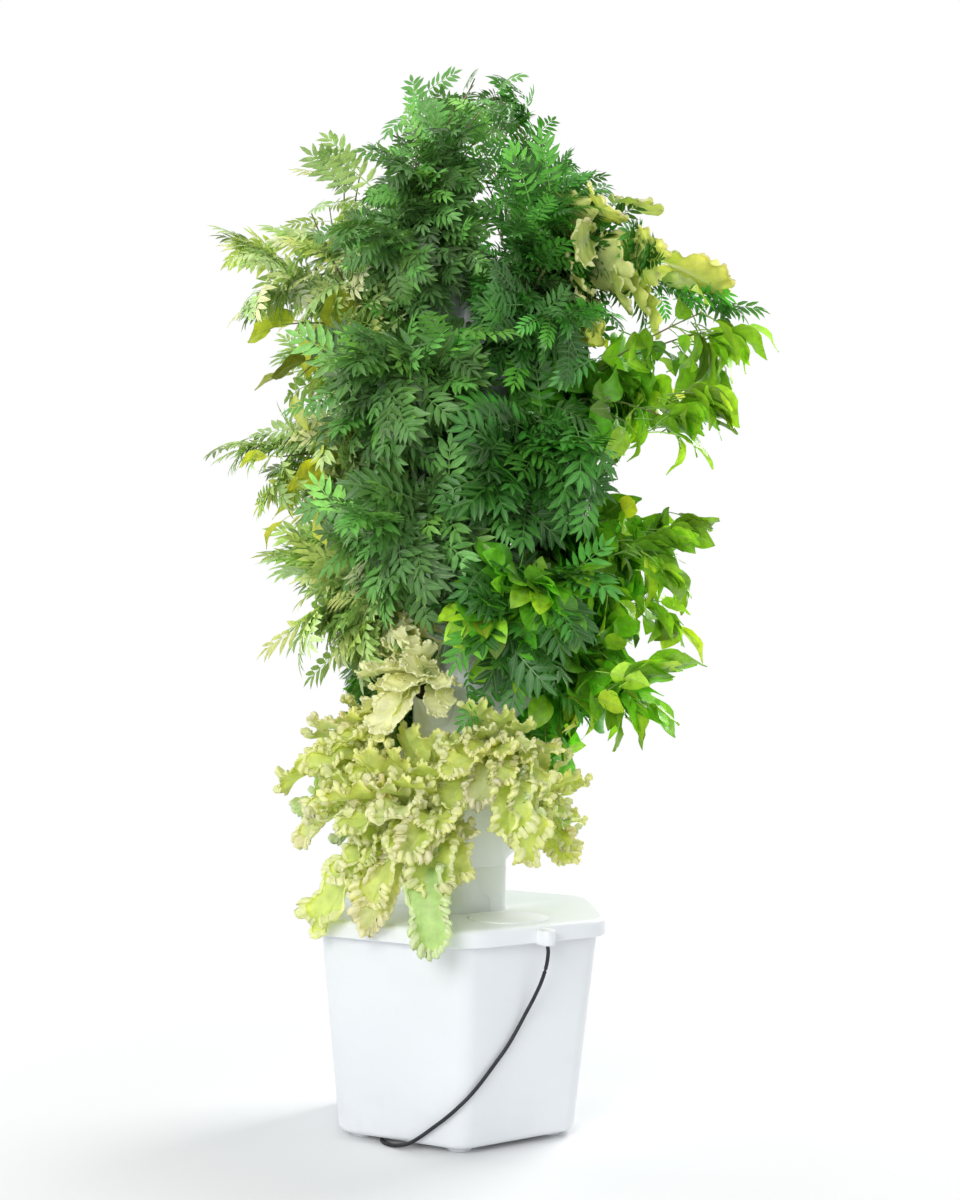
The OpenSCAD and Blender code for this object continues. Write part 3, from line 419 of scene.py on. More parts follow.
def pale_floor(name):
    """Near-white floor that takes the tower's shadow, and turns plain white to the camera away from it."""
    f = Finish(name)
    f.set(Base_Color=f.blend(f.noise(0.6), (0.86, 0.86, 0.86), (0.88, 0.88, 0.88)), Roughness=0.9)
    f.set(Specular_IOR_Level=0.1)
    glow = f.fill(f.add("Emission"), {"Strength": 1.0})
    away = f.fill(f.add("VectorMath", operation="LENGTH"), {0: f.coord.outputs["Object"]})
    values = {"Value": away.outputs["Value"], "From Min": 0.35, "From Max": 1.1}
    far = f.fill(f.add("MapRange", interpolation_type="SMOOTHSTEP"), values)
    f.mix_in(f.math("MULTIPLY", seen_by_camera(f.tree), far.outputs[0]), glow.outputs[0])
    return f.mat


def moulded_white(name, dust_top):
    """White plastic in the colour of the settings."""
    return white_plastic(name, tuple(settings("tub").white), dust_top)


# Maker of each material, and what it is given after the material's name
FINISHES = {
    "tub_white": (moulded_white, 0.10),
    "column_white": (moulded_white, 0.02),
    "cup_black": (dark_plastic, (0.035, 0.035, 0.035), 0.5),
    "pump_black": (dark_plastic, (0.02, 0.02, 0.023), 0.42),
    "rotor_grey": (dark_plastic, (0.16, 0.16, 0.165), 0.4),
    "pipe_grey": (white_plastic, (0.66, 0.67, 0.66), 0.01),
    "sheath_black": (rubber, (0.014, 0.015, 0.019)),
    "bright_steel": (steel, (0.62, 0.62, 0.61)),
    "plug_foam": (foam, (0.11, 0.065, 0.035)),
    "marigold_leaf": (green_leaf, 0.25, 0.40),
    "herb_leaf": (green_leaf, 0.42, 0.40),
    "lettuce_leaf": (lettuce_leaf,),
    "stem_green": (stem_green, (0.16, 0.27, 0.07)),
    "pale_floor": (pale_floor,),
}
_made = {}


def finish(name):
    """Material of that name, made the first time it is asked for."""
    if name not in _made:
        maker, *values = FINISHES[name]
        _made[name] = maker(name, *values)
    return _made[name]


# Meshes


def grid_faces(rows, cols, closed=False):
    """Quads of a grid of points stored row by row; closed joins the last column to the first."""
    i = np.arange(rows - 1)[:, None] * cols
    j = np.arange(cols if closed else cols - 1)[None, :]
    k = (j + 1) % cols
    return np.stack([i + j, i + k, i + k + cols, i + j + cols], -1).reshape(-1, 4)


def tube_faces(rows, cols):
    """Quads between closed rings of points, with a face over the first ring and one over the last."""
    ring = np.arange(cols)
    return grid_faces(rows, cols, True).tolist() + [ring[::-1].tolist(), (ring + (rows - 1) * cols).tolist()]


def make_piece(name, points, faces, material, smooth=True):
    """New object at the origin from an array of points and a list of faces."""
    mesh = bpy.data.meshes.new(name)
    mesh.from_pydata(np.asarray(points, float).tolist(), [], faces)
    mesh.polygons.foreach_set("use_smooth", np.full(len(mesh.polygons), smooth))
    mesh.update()
    piece = bpy.data.objects.new(name, mesh)
    bpy.context.scene.collection.objects.link(piece)
    mesh.materials.append(material)
    return piece


def settle(piece):
    """Applies the modifiers of a piece to its mesh."""
    bpy.context.view_layer.update()
    evaluated = piece.evaluated_get(bpy.context.evaluated_depsgraph_get())
    mesh = bpy.data.meshes.new_from_object(evaluated)
    piece.modifiers.clear()
    old = piece.data
    piece.data = mesh
    bpy.data.meshes.remove(old)
    mesh.name = piece.name


def carve(piece, tool, operation):
    """Boolean of a piece with a closed tool, which is then removed."""
    cut = piece.modifiers.new("cut", "BOOLEAN")
    cut.object = tool
    cut.operation = operation
    cut.solver = "EXACT"
    settle(piece)
    mesh = tool.data
    bpy.data.objects.remove(tool)
    bpy.data.meshes.remove(mesh)


def soften(piece, width, angle=35.0):
    """Bevels the sharp edges of a piece and shades the rest smooth."""
    bevel = piece.modifiers.new("soft_edges", "BEVEL")
    bevel.width = width
    bevel.segments = 2
    bevel.limit_method = "ANGLE"
    bevel.angle_limit = math.radians(angle)
    settle(piece)
    piece.data.polygons.foreach_set("use_smooth", np.full(len(piece.data.polygons), True))
    piece.data.set_sharp_from_angle(angle=math.radians(angle))


def stand_for(piece, body, slot, *nodes):
    """Rides a piece on its body and hides the CAD nodes it stands for; slot is not used."""
    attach(piece, body)
    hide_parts(*nodes)
    return piece


def dress(node, material):
    """Gives a carried-over CAD node its material."""
    mesh = NODES[node].data
    mesh.materials.clear()
    mesh.materials.append(material)


def dressed_copy(node, body, slot, material, width):
    """Merged and bevelled copy of a CAD node, which it stands for."""
    mesh = NODES[node].data.copy()
    mesh.materials.clear()
    work = bmesh.new()
    work.from_mesh(mesh)
    bmesh.ops.remove_doubles(work, verts=work.verts, dist=1e-6)
    bmesh.ops.dissolve_limit(work, angle_limit=0.002, verts=work.verts, edges=work.edges)
    work.to_mesh(mesh)
    work.free()
    piece = bpy.data.objects.new(node + "_shell", mesh)
    bpy.context.scene.collection.objects.link(piece)
    mesh.materials.append(material)
    soften(piece, width)
    return stand_for(piece, body, slot, node)


# Steps round a corner and along a flat of a six-sided ring
CORNER_STEPS = 10
FLAT_STEPS = 6
# Radius at which a turned profile ends at its axis
MIDDLE = 0.001


def hex_ring(af, corner):
    """Points round a hexagon of each width across flats, with arcs of each radius at its corners.

    A point is out * (c + t * d) + corner * b, where c is the unit vector to a corner, d leads to the next
    corner, t runs from 0 to 1 along a flat, and b is the unit normal, which turns by 60 degrees on the arc.
    """
    af, corner = np.broadcast_arrays(np.asarray(af, float), np.asarray(corner, float))
    starts = np.radians(np.arange(0, 360, 60))[:, None]
    arc = np.radians(np.linspace(-30, 30, CORNER_STEPS + 1))
    flat = np.linspace(0, 1, FLAT_STEPS + 1)[1:-1]
    turn = np.concatenate([arc, np.full(len(flat), np.radians(30))])[None, :] + starts
    along = np.concatenate([np.zeros(len(arc)), flat])[None, :]
    c = np.stack([np.cos(starts), np.sin(starts)], -1)
    d = np.roll(c, -1, axis=0) - c
    centre = (c + along[..., None] * d).reshape(-1, 2)
    normal = np.stack([np.cos(turn), np.sin(turn)], -1).reshape(-1, 2)
    out = (af / 2 - corner) / math.cos(math.radians(30))
    return out[:, None, None] * centre + corner[:, None, None] * normal


def hex_loft(levels):
    """Closed shell through six-sided rings, from levels of (height, width across flats, corner radius).

    The rings are joined in order, so the profile may turn over a rim and come back down inside.
    """
    z, af, corner = np.array(levels, float).T
    ring = hex_ring(af, corner)
    rows, cols = ring.shape[:2]
    points = np.concatenate([ring, np.broadcast_to(z[:, None, None], (rows, cols, 1))], -1).reshape(-1, 3)
    return points, tube_faces(rows, cols)


def turned(profile, centre, steps=48):
    """Closed shell of a profile of (radius, height) turned about an upright axis through centre."""
    r, z = np.array(profile, float).T
    a = np.linspace(0, 2 * np.pi, steps, endpoint=False)
    x = centre[0] + r[:, None] * np.cos(a)
    y = centre[1] + r[:, None] * np.sin(a)
    points = np.stack([x, y, np.broadcast_to(z[:, None], x.shape)], -1).reshape(-1, 3)
    return points, tube_faces(len(r), steps)


def joined(*shells):
    """Several (points, faces) shells as one."""
    points, faces, count = [], [], 0
    for p, f in shells:
        points.append(p)
        faces += [[i + count for i in face] for face in f]
        count += len(p)
    return np.concatenate(points), faces


def fillet(radius, steps, start, end):
    """Offsets (outwards, upwards) along an arc of that radius, from one angle to another, in degrees."""
    a = np.radians(np.linspace(start, end, steps + 1))
    return radius * np.cos(a), radius * np.sin(a)


def box_shell(low, high):
    """Closed block between two corners."""
    x = np.array([low, high], float)
    pick = np.array([[i, j, k] for k in (0, 1) for j in (0, 1) for i in (0, 1)])
    points = x[pick, np.arange(3)]
    faces = [[0, 2, 3, 1], [4, 5, 7, 6], [0, 1, 5, 4], [2, 6, 7, 3], [0, 4, 6, 2], [1, 3, 7, 5]]
    return points, faces


class TOWER_OT_tub(bpy.types.Operator):
    """Six-sided tub: one shell from the bottom, up the tapered wall, over the rim and down inside"""

    bl_idname = "tower.tub"
    bl_label = "Tub"

    def execute(self, context):
        s = settings("tub")
        top_af = TUB_HIGH[1] - TUB_LOW[1]
        rim = TUB_HIGH[2]
        floor = s.pad_h + s.wall
        inner = s.corner - s.wall
        rim_r = s.wall / 2
        slope = (top_af - s.base_af) / 2 / (rim - s.pad_h)
        foot_af = s.base_af + 2 * slope * s.edge
        edge = [(s.edge - a, s.edge + b) for a, b in zip(*fillet(s.edge, 6, -90, 0))]
        bottom_inset, floor_inset = 0.004, 0.006
        # Bottom and its edge, outside of the wall, rim, inside of the wall, inner edge and floor
        levels = [(s.pad_h, s.base_af - 2 * s.edge - bottom_inset, s.corner - s.edge / 2)]
        levels += [(s.pad_h + b, foot_af - 2 * a, s.corner - a / 2) for a, b in edge]
        for t in (0.004, 0.3, 0.7, 0.985):
            z = s.pad_h + s.edge + t * (rim - s.pad_h - s.edge)
            levels.append((z, s.base_af + 2 * slope * (z - s.pad_h), s.corner))
        levels += [
            (rim - rim_r + b, top_af - 2 * rim_r + 2 * a, s.corner - rim_r + a)
            for a, b in zip(*fillet(rim_r, 6, 0, 180))
        ]
        for t in (0.97, 0.5, 0.04):
            z = floor + s.edge + t * (rim - floor - s.edge)
            levels.append((z, s.base_af + 2 * slope * (z - s.pad_h) - 2 * s.wall, inner))
        levels += [(floor + b, foot_af - 2 * s.wall - 2 * a, inner - a / 2) for a, b in edge[::-1]]
        levels.append((floor, s.base_af - 2 * s.edge - 2 * s.wall - floor_inset, inner - s.edge / 2))
        shells = [hex_loft(levels)]
        out_r = (s.base_af / 2 - s.corner) / math.cos(math.radians(30))
        # A moulded foot: flat sole, soft edge, and a flare that sinks into the bottom
        soft, flare, sunk = 0.0025, 0.0015, s.pad_h + 0.0012
        pad = [(MIDDLE, 0.0), (s.pad_r - soft - 0.001, 0.0)]
        pad += [(s.pad_r - soft + a, soft + b) for a, b in zip(*fillet(soft, 4, -90, 0))]
        pad += [(s.pad_r, s.pad_h - 0.001), (s.pad_r + flare, sunk), (MIDDLE, sunk)]
        angles = np.radians(np.arange(0, 360, 60))
        centres = [(0.0, 0.0)] + list(zip(out_r * np.cos(angles), out_r * np.sin(angles)))
        shells += [turned(pad, c) for c in centres]
        piece = make_piece("tub_shell", *joined(*shells), finish("tub_white"))
        # Notch in the rim for the grommet: a little wider than it, through the wall and open at the top
        low, high = node_box("cord_grommet")
        spare, through, open_top = 0.0002, 0.004, 0.02
        notch = box_shell(low - [spare, through, spare], high + [spare, through, open_top])
        carve(piece, make_piece("notch", *notch, finish("tub_white")), "DIFFERENCE")
        piece.data.set_sharp_from_angle(angle=math.radians(40))
        stand_for(piece, "stand", "white_tub_plastic", "reservoir_tub")
        return {"FINISHED"}


def spout_shell(x, y, r, low, high, soft):
    """Half round that runs back into the lip: one outline at four heights, drawn in by soft at both ends."""
    a = np.radians(np.linspace(180, 360, 25))
    shape = np.concatenate([np.stack([np.cos(a), np.sin(a)], -1), [[1.0, 0.0], [-1.0, 0.0]]])
    depth = np.array([0.0] * len(a) + [1.0, 1.0])[:, None]
    rows = []
    for inset, z in ((soft, low), (0.0, low + soft), (0.0, high - soft), (soft, high)):
        xy = shape * (r - inset) + depth * [[0.0, 0.02]] + [[x, y]]
        rows.append(np.column_stack([xy, np.full(len(xy), z)]))
    return np.concatenate(rows), tube_faces(len(rows), len(shape))


class TOWER_OT_lid(bpy.types.Operator):
    """Six-sided lid with a rounded edge, turned-down lip, cord spout, drain and recessed access hole"""

    bl_idname = "tower.lid"
    bl_label = "Lid"

    def execute(self, context):
        s = settings("tub")
        white = finish("tub_white")
        top, af, t = LID_HIGH[2], LID_AF, s.wall
        lip = top - s.lip_h
        out, up = fillet(s.lid_edge, 8, 0, 90)
        lip_r = t / 2
        inner_edge = s.lid_edge - t
        lip_edge, top_inset = 0.004, 0.006
        # Underside and its edge, lip, outside of the lip, outer edge and top
        levels = [(top - t, af - 4 * s.lid_edge, s.lid_corner - 2 * s.lid_edge)]
        shrink = inner_edge / s.lid_edge
        levels += [
            (top - s.lid_edge + b * shrink, af - 2 * t - 2 * (inner_edge - a * shrink), s.lid_corner - t)
            for a, b in zip(out[::-1], up[::-1])
        ]
        levels += [
            (lip + lip_r + b, af - 2 * lip_r + 2 * a, s.lid_corner - lip_r + a)
            for a, b in zip(*fillet(lip_r, 6, -180, 0))
        ]
        levels.append((lip + lip_edge, af, s.lid_corner))
        levels += [
            (top - s.lid_edge + b, af - 2 * (s.lid_edge - a), s.lid_corner - (s.lid_edge - a))
            for a, b in zip(out, up)
        ]
        levels.append((top, af - 2 * s.lid_edge - top_inset, s.lid_corner - s.lid_edge))
        piece = make_piece("lid_shell", *hex_loft(levels), white)
        exit_x, exit_y, _ = CORD_ROUTE[0]
        boss_r = exit_y - LID_LOW[1]
        spout_wall, spout_roof = 0.004, 0.0025
        spout_top = top - s.lid_edge + 0.003
        boss = spout_shell(exit_x, exit_y, boss_r, LID_LOW[2], spout_top, 0.002)
        carve(piece, make_piece("boss", *boss, white), "UNION")
        inside = spout_top - spout_roof
        channel = spout_shell(exit_x, exit_y, boss_r - spout_wall, LID_LOW[2] - 0.01, inside, 0.0005)
        carve(piece, make_piece("channel", *channel, white), "DIFFERENCE")
        # Recess of the access cover on its ledge, and the drain under the column
        below, above, seat = lip - 0.01, top + 0.01, top - 0.003
        ledge_r, hole_r, drain_r = COVER_R - 0.007, COVER_R + 0.0004, 0.055
        hole = [(MIDDLE, below), (ledge_r, below), (ledge_r, seat)]
        hole += [(hole_r, seat), (hole_r, above), (MIDDLE, above)]
        carve(piece, make_piece("hole", *turned(hole, COVER_CENTRE, 96), white), "DIFFERENCE")
        drain = [(MIDDLE, below), (drain_r, below), (drain_r, above), (MIDDLE, above)]
        carve(piece, make_piece("drain", *turned(drain, (0.0, 0.0), 96), white), "DIFFERENCE")
        soften(piece, 0.0007, 50.0)
        stand_for(piece, "stand", "white_tub_plastic", "reservoir_lid")
        return {"FINISHED"}


class TOWER_OT_column(bpy.types.Operator):
    """Foot, stacked sections, cap and access cover, with softened edges"""

    bl_idname = "tower.column"
    bl_label = "Column"

    def execute(self, context):
        white = finish("column_white")
        slot = "white_column_plastic"
        dressed_copy("access_cover", "cover", "white_tub_plastic", finish("tub_white"), 0.0008)
        dressed_copy("tower_foot", "stand", slot, white, 0.001)
        dressed_copy("tower_cap", "cap", slot, white, 0.001)
        for k in range(1, TIERS + 1):
            dressed_copy(f"tower_section_{k}", "stand", slot, white, 0.001)
        return {"FINISHED"}


# Single pieces that keep their solid, by material
WORKINGS = {
    "pump_black": ("pump_body", "pump_front", "flow_slider"),
    "pipe_grey": ("riser_lower", "riser_coupling", "riser_upper"),
    "sheath_black": (
        "cord_grommet", "pump_feet", "pump_gland", "pump_lead", "outlet_sleeve", "cord_tie", "plug_body",
    ),
    "bright_steel": ("pump_shaft", "plug_pins"),
    "rotor_grey": ("pump_impeller",),
    "column_white": ("spray_head",),
}


class TOWER_OT_workings(bpy.types.Operator):
    """Finishes of the cups, plugs, pump, pipes and small pieces"""

    bl_idname = "tower.workings"
    bl_label = "Workings"

    def execute(self, context):
        for k in range(1, TIERS + 1):
            dress(f"net_cups_{k}", finish("cup_black"))
            dress(f"grow_plugs_{k}", finish("plug_foam"))
        for material, names in WORKINGS.items():
            for name in names:
                dress(name, finish(material))
        return {"FINISHED"}


# Lead, by the route of its solid: height of its middle on the floor and in the coil's lower turns, middle of
# the coil, angle at which it starts, in degrees, and length of its straight end
FLOOR_Z = 0.0038
COIL_Z = 0.0049
COIL_CENTRE = (0.056, 0.262)
COIL_START = 12.0
COIL_TAIL = 0.014
CORD_ROUTE = [
    (0.008, -0.272, 0.353), (0.008, -0.2738, 0.341), (0.007, -0.270, 0.318), (0.004, -0.260, 0.290),
    (-0.003, -0.249, 0.262), (-0.013, -0.240, 0.236), (-0.027, -0.234, 0.208), (-0.045, -0.231, 0.181),
    (-0.067, -0.228, 0.155), (-0.091, -0.226, 0.129), (-0.113, -0.222, 0.106), (-0.131, -0.212, 0.086),
    (-0.144, -0.196, 0.067), (-0.155, -0.173, 0.047), (-0.166, -0.149, 0.027), (-0.176, -0.127, 0.012),
    (-0.186, -0.104, 0.005), (-0.192, -0.082, FLOOR_Z), (-0.189, -0.062, FLOOR_Z), (-0.177, -0.044, FLOOR_Z),
    (-0.157, -0.028, FLOOR_Z), (-0.131, -0.010, FLOOR_Z), (-0.103, 0.013, FLOOR_Z), (-0.076, 0.040, FLOOR_Z),
    (-0.052, 0.070, FLOOR_Z), (-0.032, 0.104, FLOOR_Z), (-0.016, 0.140, FLOOR_Z), (-0.005, 0.176, FLOOR_Z),
    (0.004, 0.212, FLOOR_Z),
]


def unit(v):
    """Vectors scaled to length one."""
    return v / np.linalg.norm(v, axis=-1, keepdims=True)


def spline(points, per_span):
    """Smooth line through points: cubic spans whose slope at a point is half the chord of its neighbours."""
    p = np.asarray(points, float)
    m = np.gradient(p, axis=0)
    t = np.linspace(0, 1, per_span, endpoint=False)[None, :, None]
    a, b = p[:-1, None], p[1:, None]
    ma, mb = m[:-1, None], m[1:, None]
    line = (2 * t**3 - 3 * t**2 + 1) * a + (t**3 - 2 * t**2 + t) * ma
    line = line + (3 * t**2 - 2 * t**3) * b + (t**3 - t**2) * mb
    return np.concatenate([line.reshape(-1, 3), p[-1:]])


def swept(path, radius, sides):
    """Closed round tube along a path: rings square to it, with tops to +Z, or to +X where it is steep."""
    tangent = unit(np.gradient(path, axis=0))
    up = np.where(np.abs(tangent[:, 2:]) < 0.95, [[0.0, 0.0, 1.0]], [[1.0, 0.0, 0.0]])
    side = unit(np.cross(up, tangent))
    lift = np.cross(tangent, side)
    a = np.linspace(0, 2 * np.pi, sides, endpoint=False)
    r = np.broadcast_to(radius, (len(path),))[:, None, None]
    rings = path[:, None] + r * (np.cos(a)[:, None] * side[:, None] + np.sin(a)[:, None] * lift[:, None])
    return rings.reshape(-1, 3), tube_faces(len(path), sides)


def coil_points(s):
    """Turns that spiral in on the floor and out again on top, and climb where they reverse."""
    half = s.turns / 2
    step = s.diameter + s.gap
    u = np.linspace(0, s.turns, int(s.turns * 40) + 1)
    r = s.coil_r - step * np.where(u < half, u, s.turns - u)
    climb = np.clip((u - half) * 2 + 0.5, 0, 1)
    a = np.radians(180 - COIL_START - 360 * u)
    x = COIL_CENTRE[0] + r * np.cos(a)
    y = COIL_CENTRE[1] + r * np.sin(a)
    return np.stack([x, y, COIL_Z + step * climb], -1)


class TOWER_OT_cord(bpy.types.Operator):
    """Mains lead: out of the spout, down the tub, under it between the feet, and into a tied coil behind"""

    bl_idname = "tower.cord"
    bl_label = "Lead"

    def execute(self, context):
        s = settings("cord")
        turns = coil_points(s)
        lead_in = np.array([math.sin(math.radians(COIL_START)), math.cos(math.radians(COIL_START)), 0.0])
        first = turns[0] - s.diameter * lead_in
        run = spline(CORD_ROUTE + [tuple(first - n * s.diameter * lead_in) for n in (3, 1)], 6)
        tail = turns[-1] + unit(turns[-1] - turns[-2]) * np.array([[0.5], [1.0]]) * COIL_TAIL
        path = np.concatenate([run, first[None], turns, tail])
        piece = make_piece("mains_lead", *swept(path, s.diameter / 2, 12), finish("sheath_black"))
        stand_for(piece, "stand", "black_rubber", "power_cord", "cord_coil")
        return {"FINISHED"}


# Foliage


class Leaf:
    """One leaf of unit length, along +X from its base, upper side to +Z; rim is 1 on a frilled edge."""

    def __init__(self, points, faces, uv, rim=None):
        self.points = np.asarray(points, float)
        self.faces = faces
        self.uv = np.asarray(uv, float)
        self.rim = np.zeros(len(self.points)) if rim is None else rim


def bent(points, droop):
    """Curls a leaf downwards: at distance x along it, it has turned by droop * x, so its spine is an arc."""
    x, y, z = points.T
    a = droop * x
    return np.stack([np.sin(a) / droop + z * np.sin(a), y, (np.cos(a) - 1) / droop + z * np.cos(a)], -1)


# Points of a leaflet by shares of its length, half width and fold, its faces and its UV map
LEAFLET = np.array(
    [
        [0, 0, 0], [0.3, 1, 0.25], [0.3, 0, 0], [0.3, -1, 0.25],
        [0.68, 0.8, 0.2], [0.68, 0, 0], [0.68, -0.8, 0.2], [1, 0, 0],
    ]
)
LEAFLET_FACES = [[0, 2, 1], [0, 3, 2], [2, 5, 4, 1], [3, 6, 5, 2], [5, 7, 4], [6, 7, 5]]
LEAFLET_UV = np.array(
    [[0.5, 0], [0.8, 0.3], [0.5, 0.3], [0.2, 0.3], [0.75, 0.68], [0.5, 0.68], [0.25, 0.68], [0.5, 1]]
)


def pinnate_leaf(rng, droop):
    """Marigold leaf: pairs of narrow folded leaflets along a rib, and one at its end.

    Leaflet i of a side starts at x = 0.2 + 0.66 i / (pairs - 1) and is longest in the middle of the leaf.
    """
    pairs = 6
    x = np.repeat(0.2 + 0.66 * np.arange(pairs) / (pairs - 1), 2)
    side = np.tile([1.0, -1.0], pairs)
    turn = np.radians(np.linspace(68, 38, pairs).repeat(2) + rng.normal(0, 5, 2 * pairs)) * side
    length = 0.36 * (0.62 + 0.38 * np.sin(np.pi * (x - 0.05))) * rng.uniform(0.88, 1.1, 2 * pairs)
    x = np.append(x, 0.93)
    turn = np.append(turn, rng.normal(0, 0.06))
    length = np.append(length, 0.27)
    fall = np.append(rng.normal(0.16, 0.12, 2 * pairs), 0.1)
    width = length * 0.15
    local = LEAFLET[None] * np.stack([length, width, width], -1)[:, None]
    local[..., 2] -= fall[:, None] * local[..., 0] ** 2 / length[:, None]
    c, s = np.cos(turn)[:, None], np.sin(turn)[:, None]
    lx, ly, lz = np.moveaxis(local, -1, 0)
    points = np.stack([x[:, None] + c * lx - s * ly, s * lx + c * ly, lz], -1).reshape(-1, 3)
    count, each = len(x), len(LEAFLET)
    faces = [[i + each * n for i in face] for n in range(count) for face in LEAFLET_FACES]
    rib_x = np.repeat(np.linspace(0, 0.95, 5), 2)
    rib_y = 0.012 * (1 - 0.6 * rib_x) * np.tile([1.0, -1.0], 5)
    rib = np.stack([rib_x, rib_y, np.full(len(rib_x), 0.004)], -1)
    starts = range(each * count, each * count + len(rib) - 2, 2)
    faces += [[i + 1, i + 3, i + 2, i] for i in starts]
    uv = np.concatenate([np.tile(LEAFLET_UV, (count, 1)), np.full((len(rib), 2), 0.5)])
    return Leaf(bent(np.concatenate([points, rib]), droop), faces, uv)


def ovate_leaf(rng, droop, slim):
    """Herb leaf on a stalk: half width slim * sin(pi v^0.72)^0.85, folded along its rib and puckered."""
    rows, cols = 9, 7
    v = np.linspace(0, 1, rows)[:, None]
    u = np.linspace(-1, 1, cols)[None, :]
    half = slim * np.sin(np.pi * np.clip(v, 0.01, 0.995) ** 0.72) ** 0.85
    wave = rng.uniform(0, 6)
    z = 0.22 * half * np.abs(u) + 0.012 * np.sin(17 * v + 4 * np.abs(u)) * np.abs(u)
    z = z + 0.03 * np.sin(7 * v + wave) * u**2
    x = np.broadcast_to(0.28 + 0.72 * v, (rows, cols))
    blade = np.stack([x, half * u, np.broadcast_to(z, (rows, cols))], -1).reshape(-1, 3)
    faces = grid_faces(rows, cols)[:, ::-1].tolist()
    uv = np.stack(np.broadcast_arrays(0.5 + 0.5 * u, v), -1).reshape(-1, 2)
    a = np.radians([90, 210, 330])
    ring = 0.011 * np.stack([np.cos(a), np.sin(a)], -1)
    stalk = np.stack([np.repeat([0.0, 0.15, 0.3], 3), np.tile(ring[:, 0], 3), np.tile(ring[:, 1], 3)], -1)
    faces += (grid_faces(3, 3, True) + len(blade)).tolist()
    uv = np.concatenate([uv, np.full((9, 2), 0.5)])
    return Leaf(bent(np.concatenate([blade, stalk]), droop), faces, uv)


def frilly_leaf(rng, droop, wide, frill, curls=36):
    """Lettuce leaf: a strap with a round tip, ruled from its rib outwards, with a rim that rolls up in curls.

    A point is rib(s) + t * (rim(s) - rib(s)), where s runs round the rim and t from the rib to 0.8 of the way
    out. From there the rim rolls: a * (sin(p) outwards + (1 - cos(p)) up) for p to 270 degrees. The radius a
    swells and shrinks as |sin(w / 2)| over the curls w, so that the roll reads as a string of curls. About 9
    broad folds b lift the leaf by 0.9 frill * t^2 * sin(b), and turn the roll up more or less.
    """
    side = np.linspace(0, 0.74, 20)
    half = wide * (0.26 + 0.74 * np.sin(0.5 * np.pi * side / 0.74) ** 1.2)
    a = np.linspace(0.5 * np.pi, -0.5 * np.pi, 16)[1:-1]
    line = np.concatenate(
        [
            np.stack([side, half], -1),
            np.stack([0.74 + 0.26 * np.cos(a), wide * np.sin(a)], -1),
            np.stack([side, -half], -1)[::-1],
        ]
    )
    run = np.append(0, np.cumsum(np.linalg.norm(np.diff(line, axis=0), axis=1)))
    share = np.linspace(0, 1, 6 * curls + 24)
    ex, ey = (np.interp(share * run[-1], run, line[:, i]) for i in (0, 1))
    rib = np.minimum(0.88 * ex, 0.82)
    t = np.array([0.0, 0.4, 0.8, 0.8, 0.8, 0.8, 0.8])[:, None]
    p = np.radians([0, 0, 0, 70, 140, 205, 270])[:, None]
    grow = np.minimum(1, 0.25 + 2.5 * ex)
    b = 2 * np.pi * 9 * share + rng.uniform(0, 6) + 1.2 * np.sin(13 * share + rng.uniform(0, 6))
    w = 2 * np.pi * curls * share + rng.uniform(0, 6) + 3.0 * np.sin(9 * share + rng.uniform(0, 6))
    curl = frill * grow * (0.85 + 0.35 * np.sin(0.61 * b + rng.uniform(0, 6)))
    curl = curl * (0.4 + 0.6 * np.abs(np.sin(0.5 * w)))
    lift = 0.9 * frill * grow * t**2 * np.sin(b) + curl * (0.5 + 0.5 * np.sin(b + 1)) * (1 - np.cos(p))
    rim_way = unit(np.stack([np.gradient(ex), np.gradient(ey)], -1) + 1e-9)
    away = unit(np.stack([ex - rib, ey], -1) + 1e-6)
    swing = 0.3 * curl * np.sin(0.5 * p) * np.sin(2 * w)
    push = t**2 * 0.12 * wide * grow * np.cos(b) + curl * np.sin(p)
    x = rib + t * (ex - rib) + swing * rim_way[:, 0] + push * away[:, 0]
    y = t * ey + swing * rim_way[:, 1] + push * away[:, 1]
    blister = 0.022 * np.sin(26 * x + rng.uniform(0, 6)) * np.sin(24 * y + rng.uniform(0, 6))
    z = lift + 0.3 * wide * t**2 + 0.04 * np.sin(5 * x + rng.uniform(0, 6)) * t
    z = z + blister * np.minimum(1, 2 * t)
    points = np.stack([x, y, z], -1).reshape(-1, 3)
    u = 0.5 + 0.5 * t * np.clip(ey / np.interp(ex, side, half), -1, 1)
    uv = np.stack([u, np.clip(rib + t * (ex - rib), 0, 1)], -1).reshape(-1, 2)
    rim = np.broadcast_to(0.3 * t + 0.76 * np.sin(p / 3), x.shape).ravel()
    return Leaf(bent(points, droop), grid_faces(*x.shape).tolist(), uv, rim)


def in_hexagon(points, af):
    """True where a point lies in an upright hexagon of that width across flats, with flats to -Y and +Y."""
    faces = np.radians(np.arange(30, 360, 60))
    return (points[..., :2] @ np.stack([np.cos(faces), np.sin(faces)])).max(-1) < af / 2


def in_body(points):
    """True where a point lies in the column or the lid."""
    z = points[..., 2]
    column = in_hexagon(points, COLUMN_AF) & (z < COLUMN_TOP)
    return column | (in_hexagon(points, LID_AF + 2 * LID_CLEAR) & (z < LID_HIGH[2] + LID_CLEAR))


def in_way(points):
    """True where a point lies in the way up of the cap or the access cover."""
    x, y, z = np.moveaxis(points, -1, 0)
    cap = in_hexagon(points, CAP_AF + 2 * CAP_CLEAR) & (z > COLUMN_TOP - CAP_SKIRT) & (z < CAP_HIGH[2] + LIFT)
    from_cover = np.hypot(x - COVER_CENTRE[0], y - COVER_CENTRE[1])
    return cap | (from_cover < COVER_R + COVER_CLEAR) & (z < COVER_HIGH[2] + LIFT)


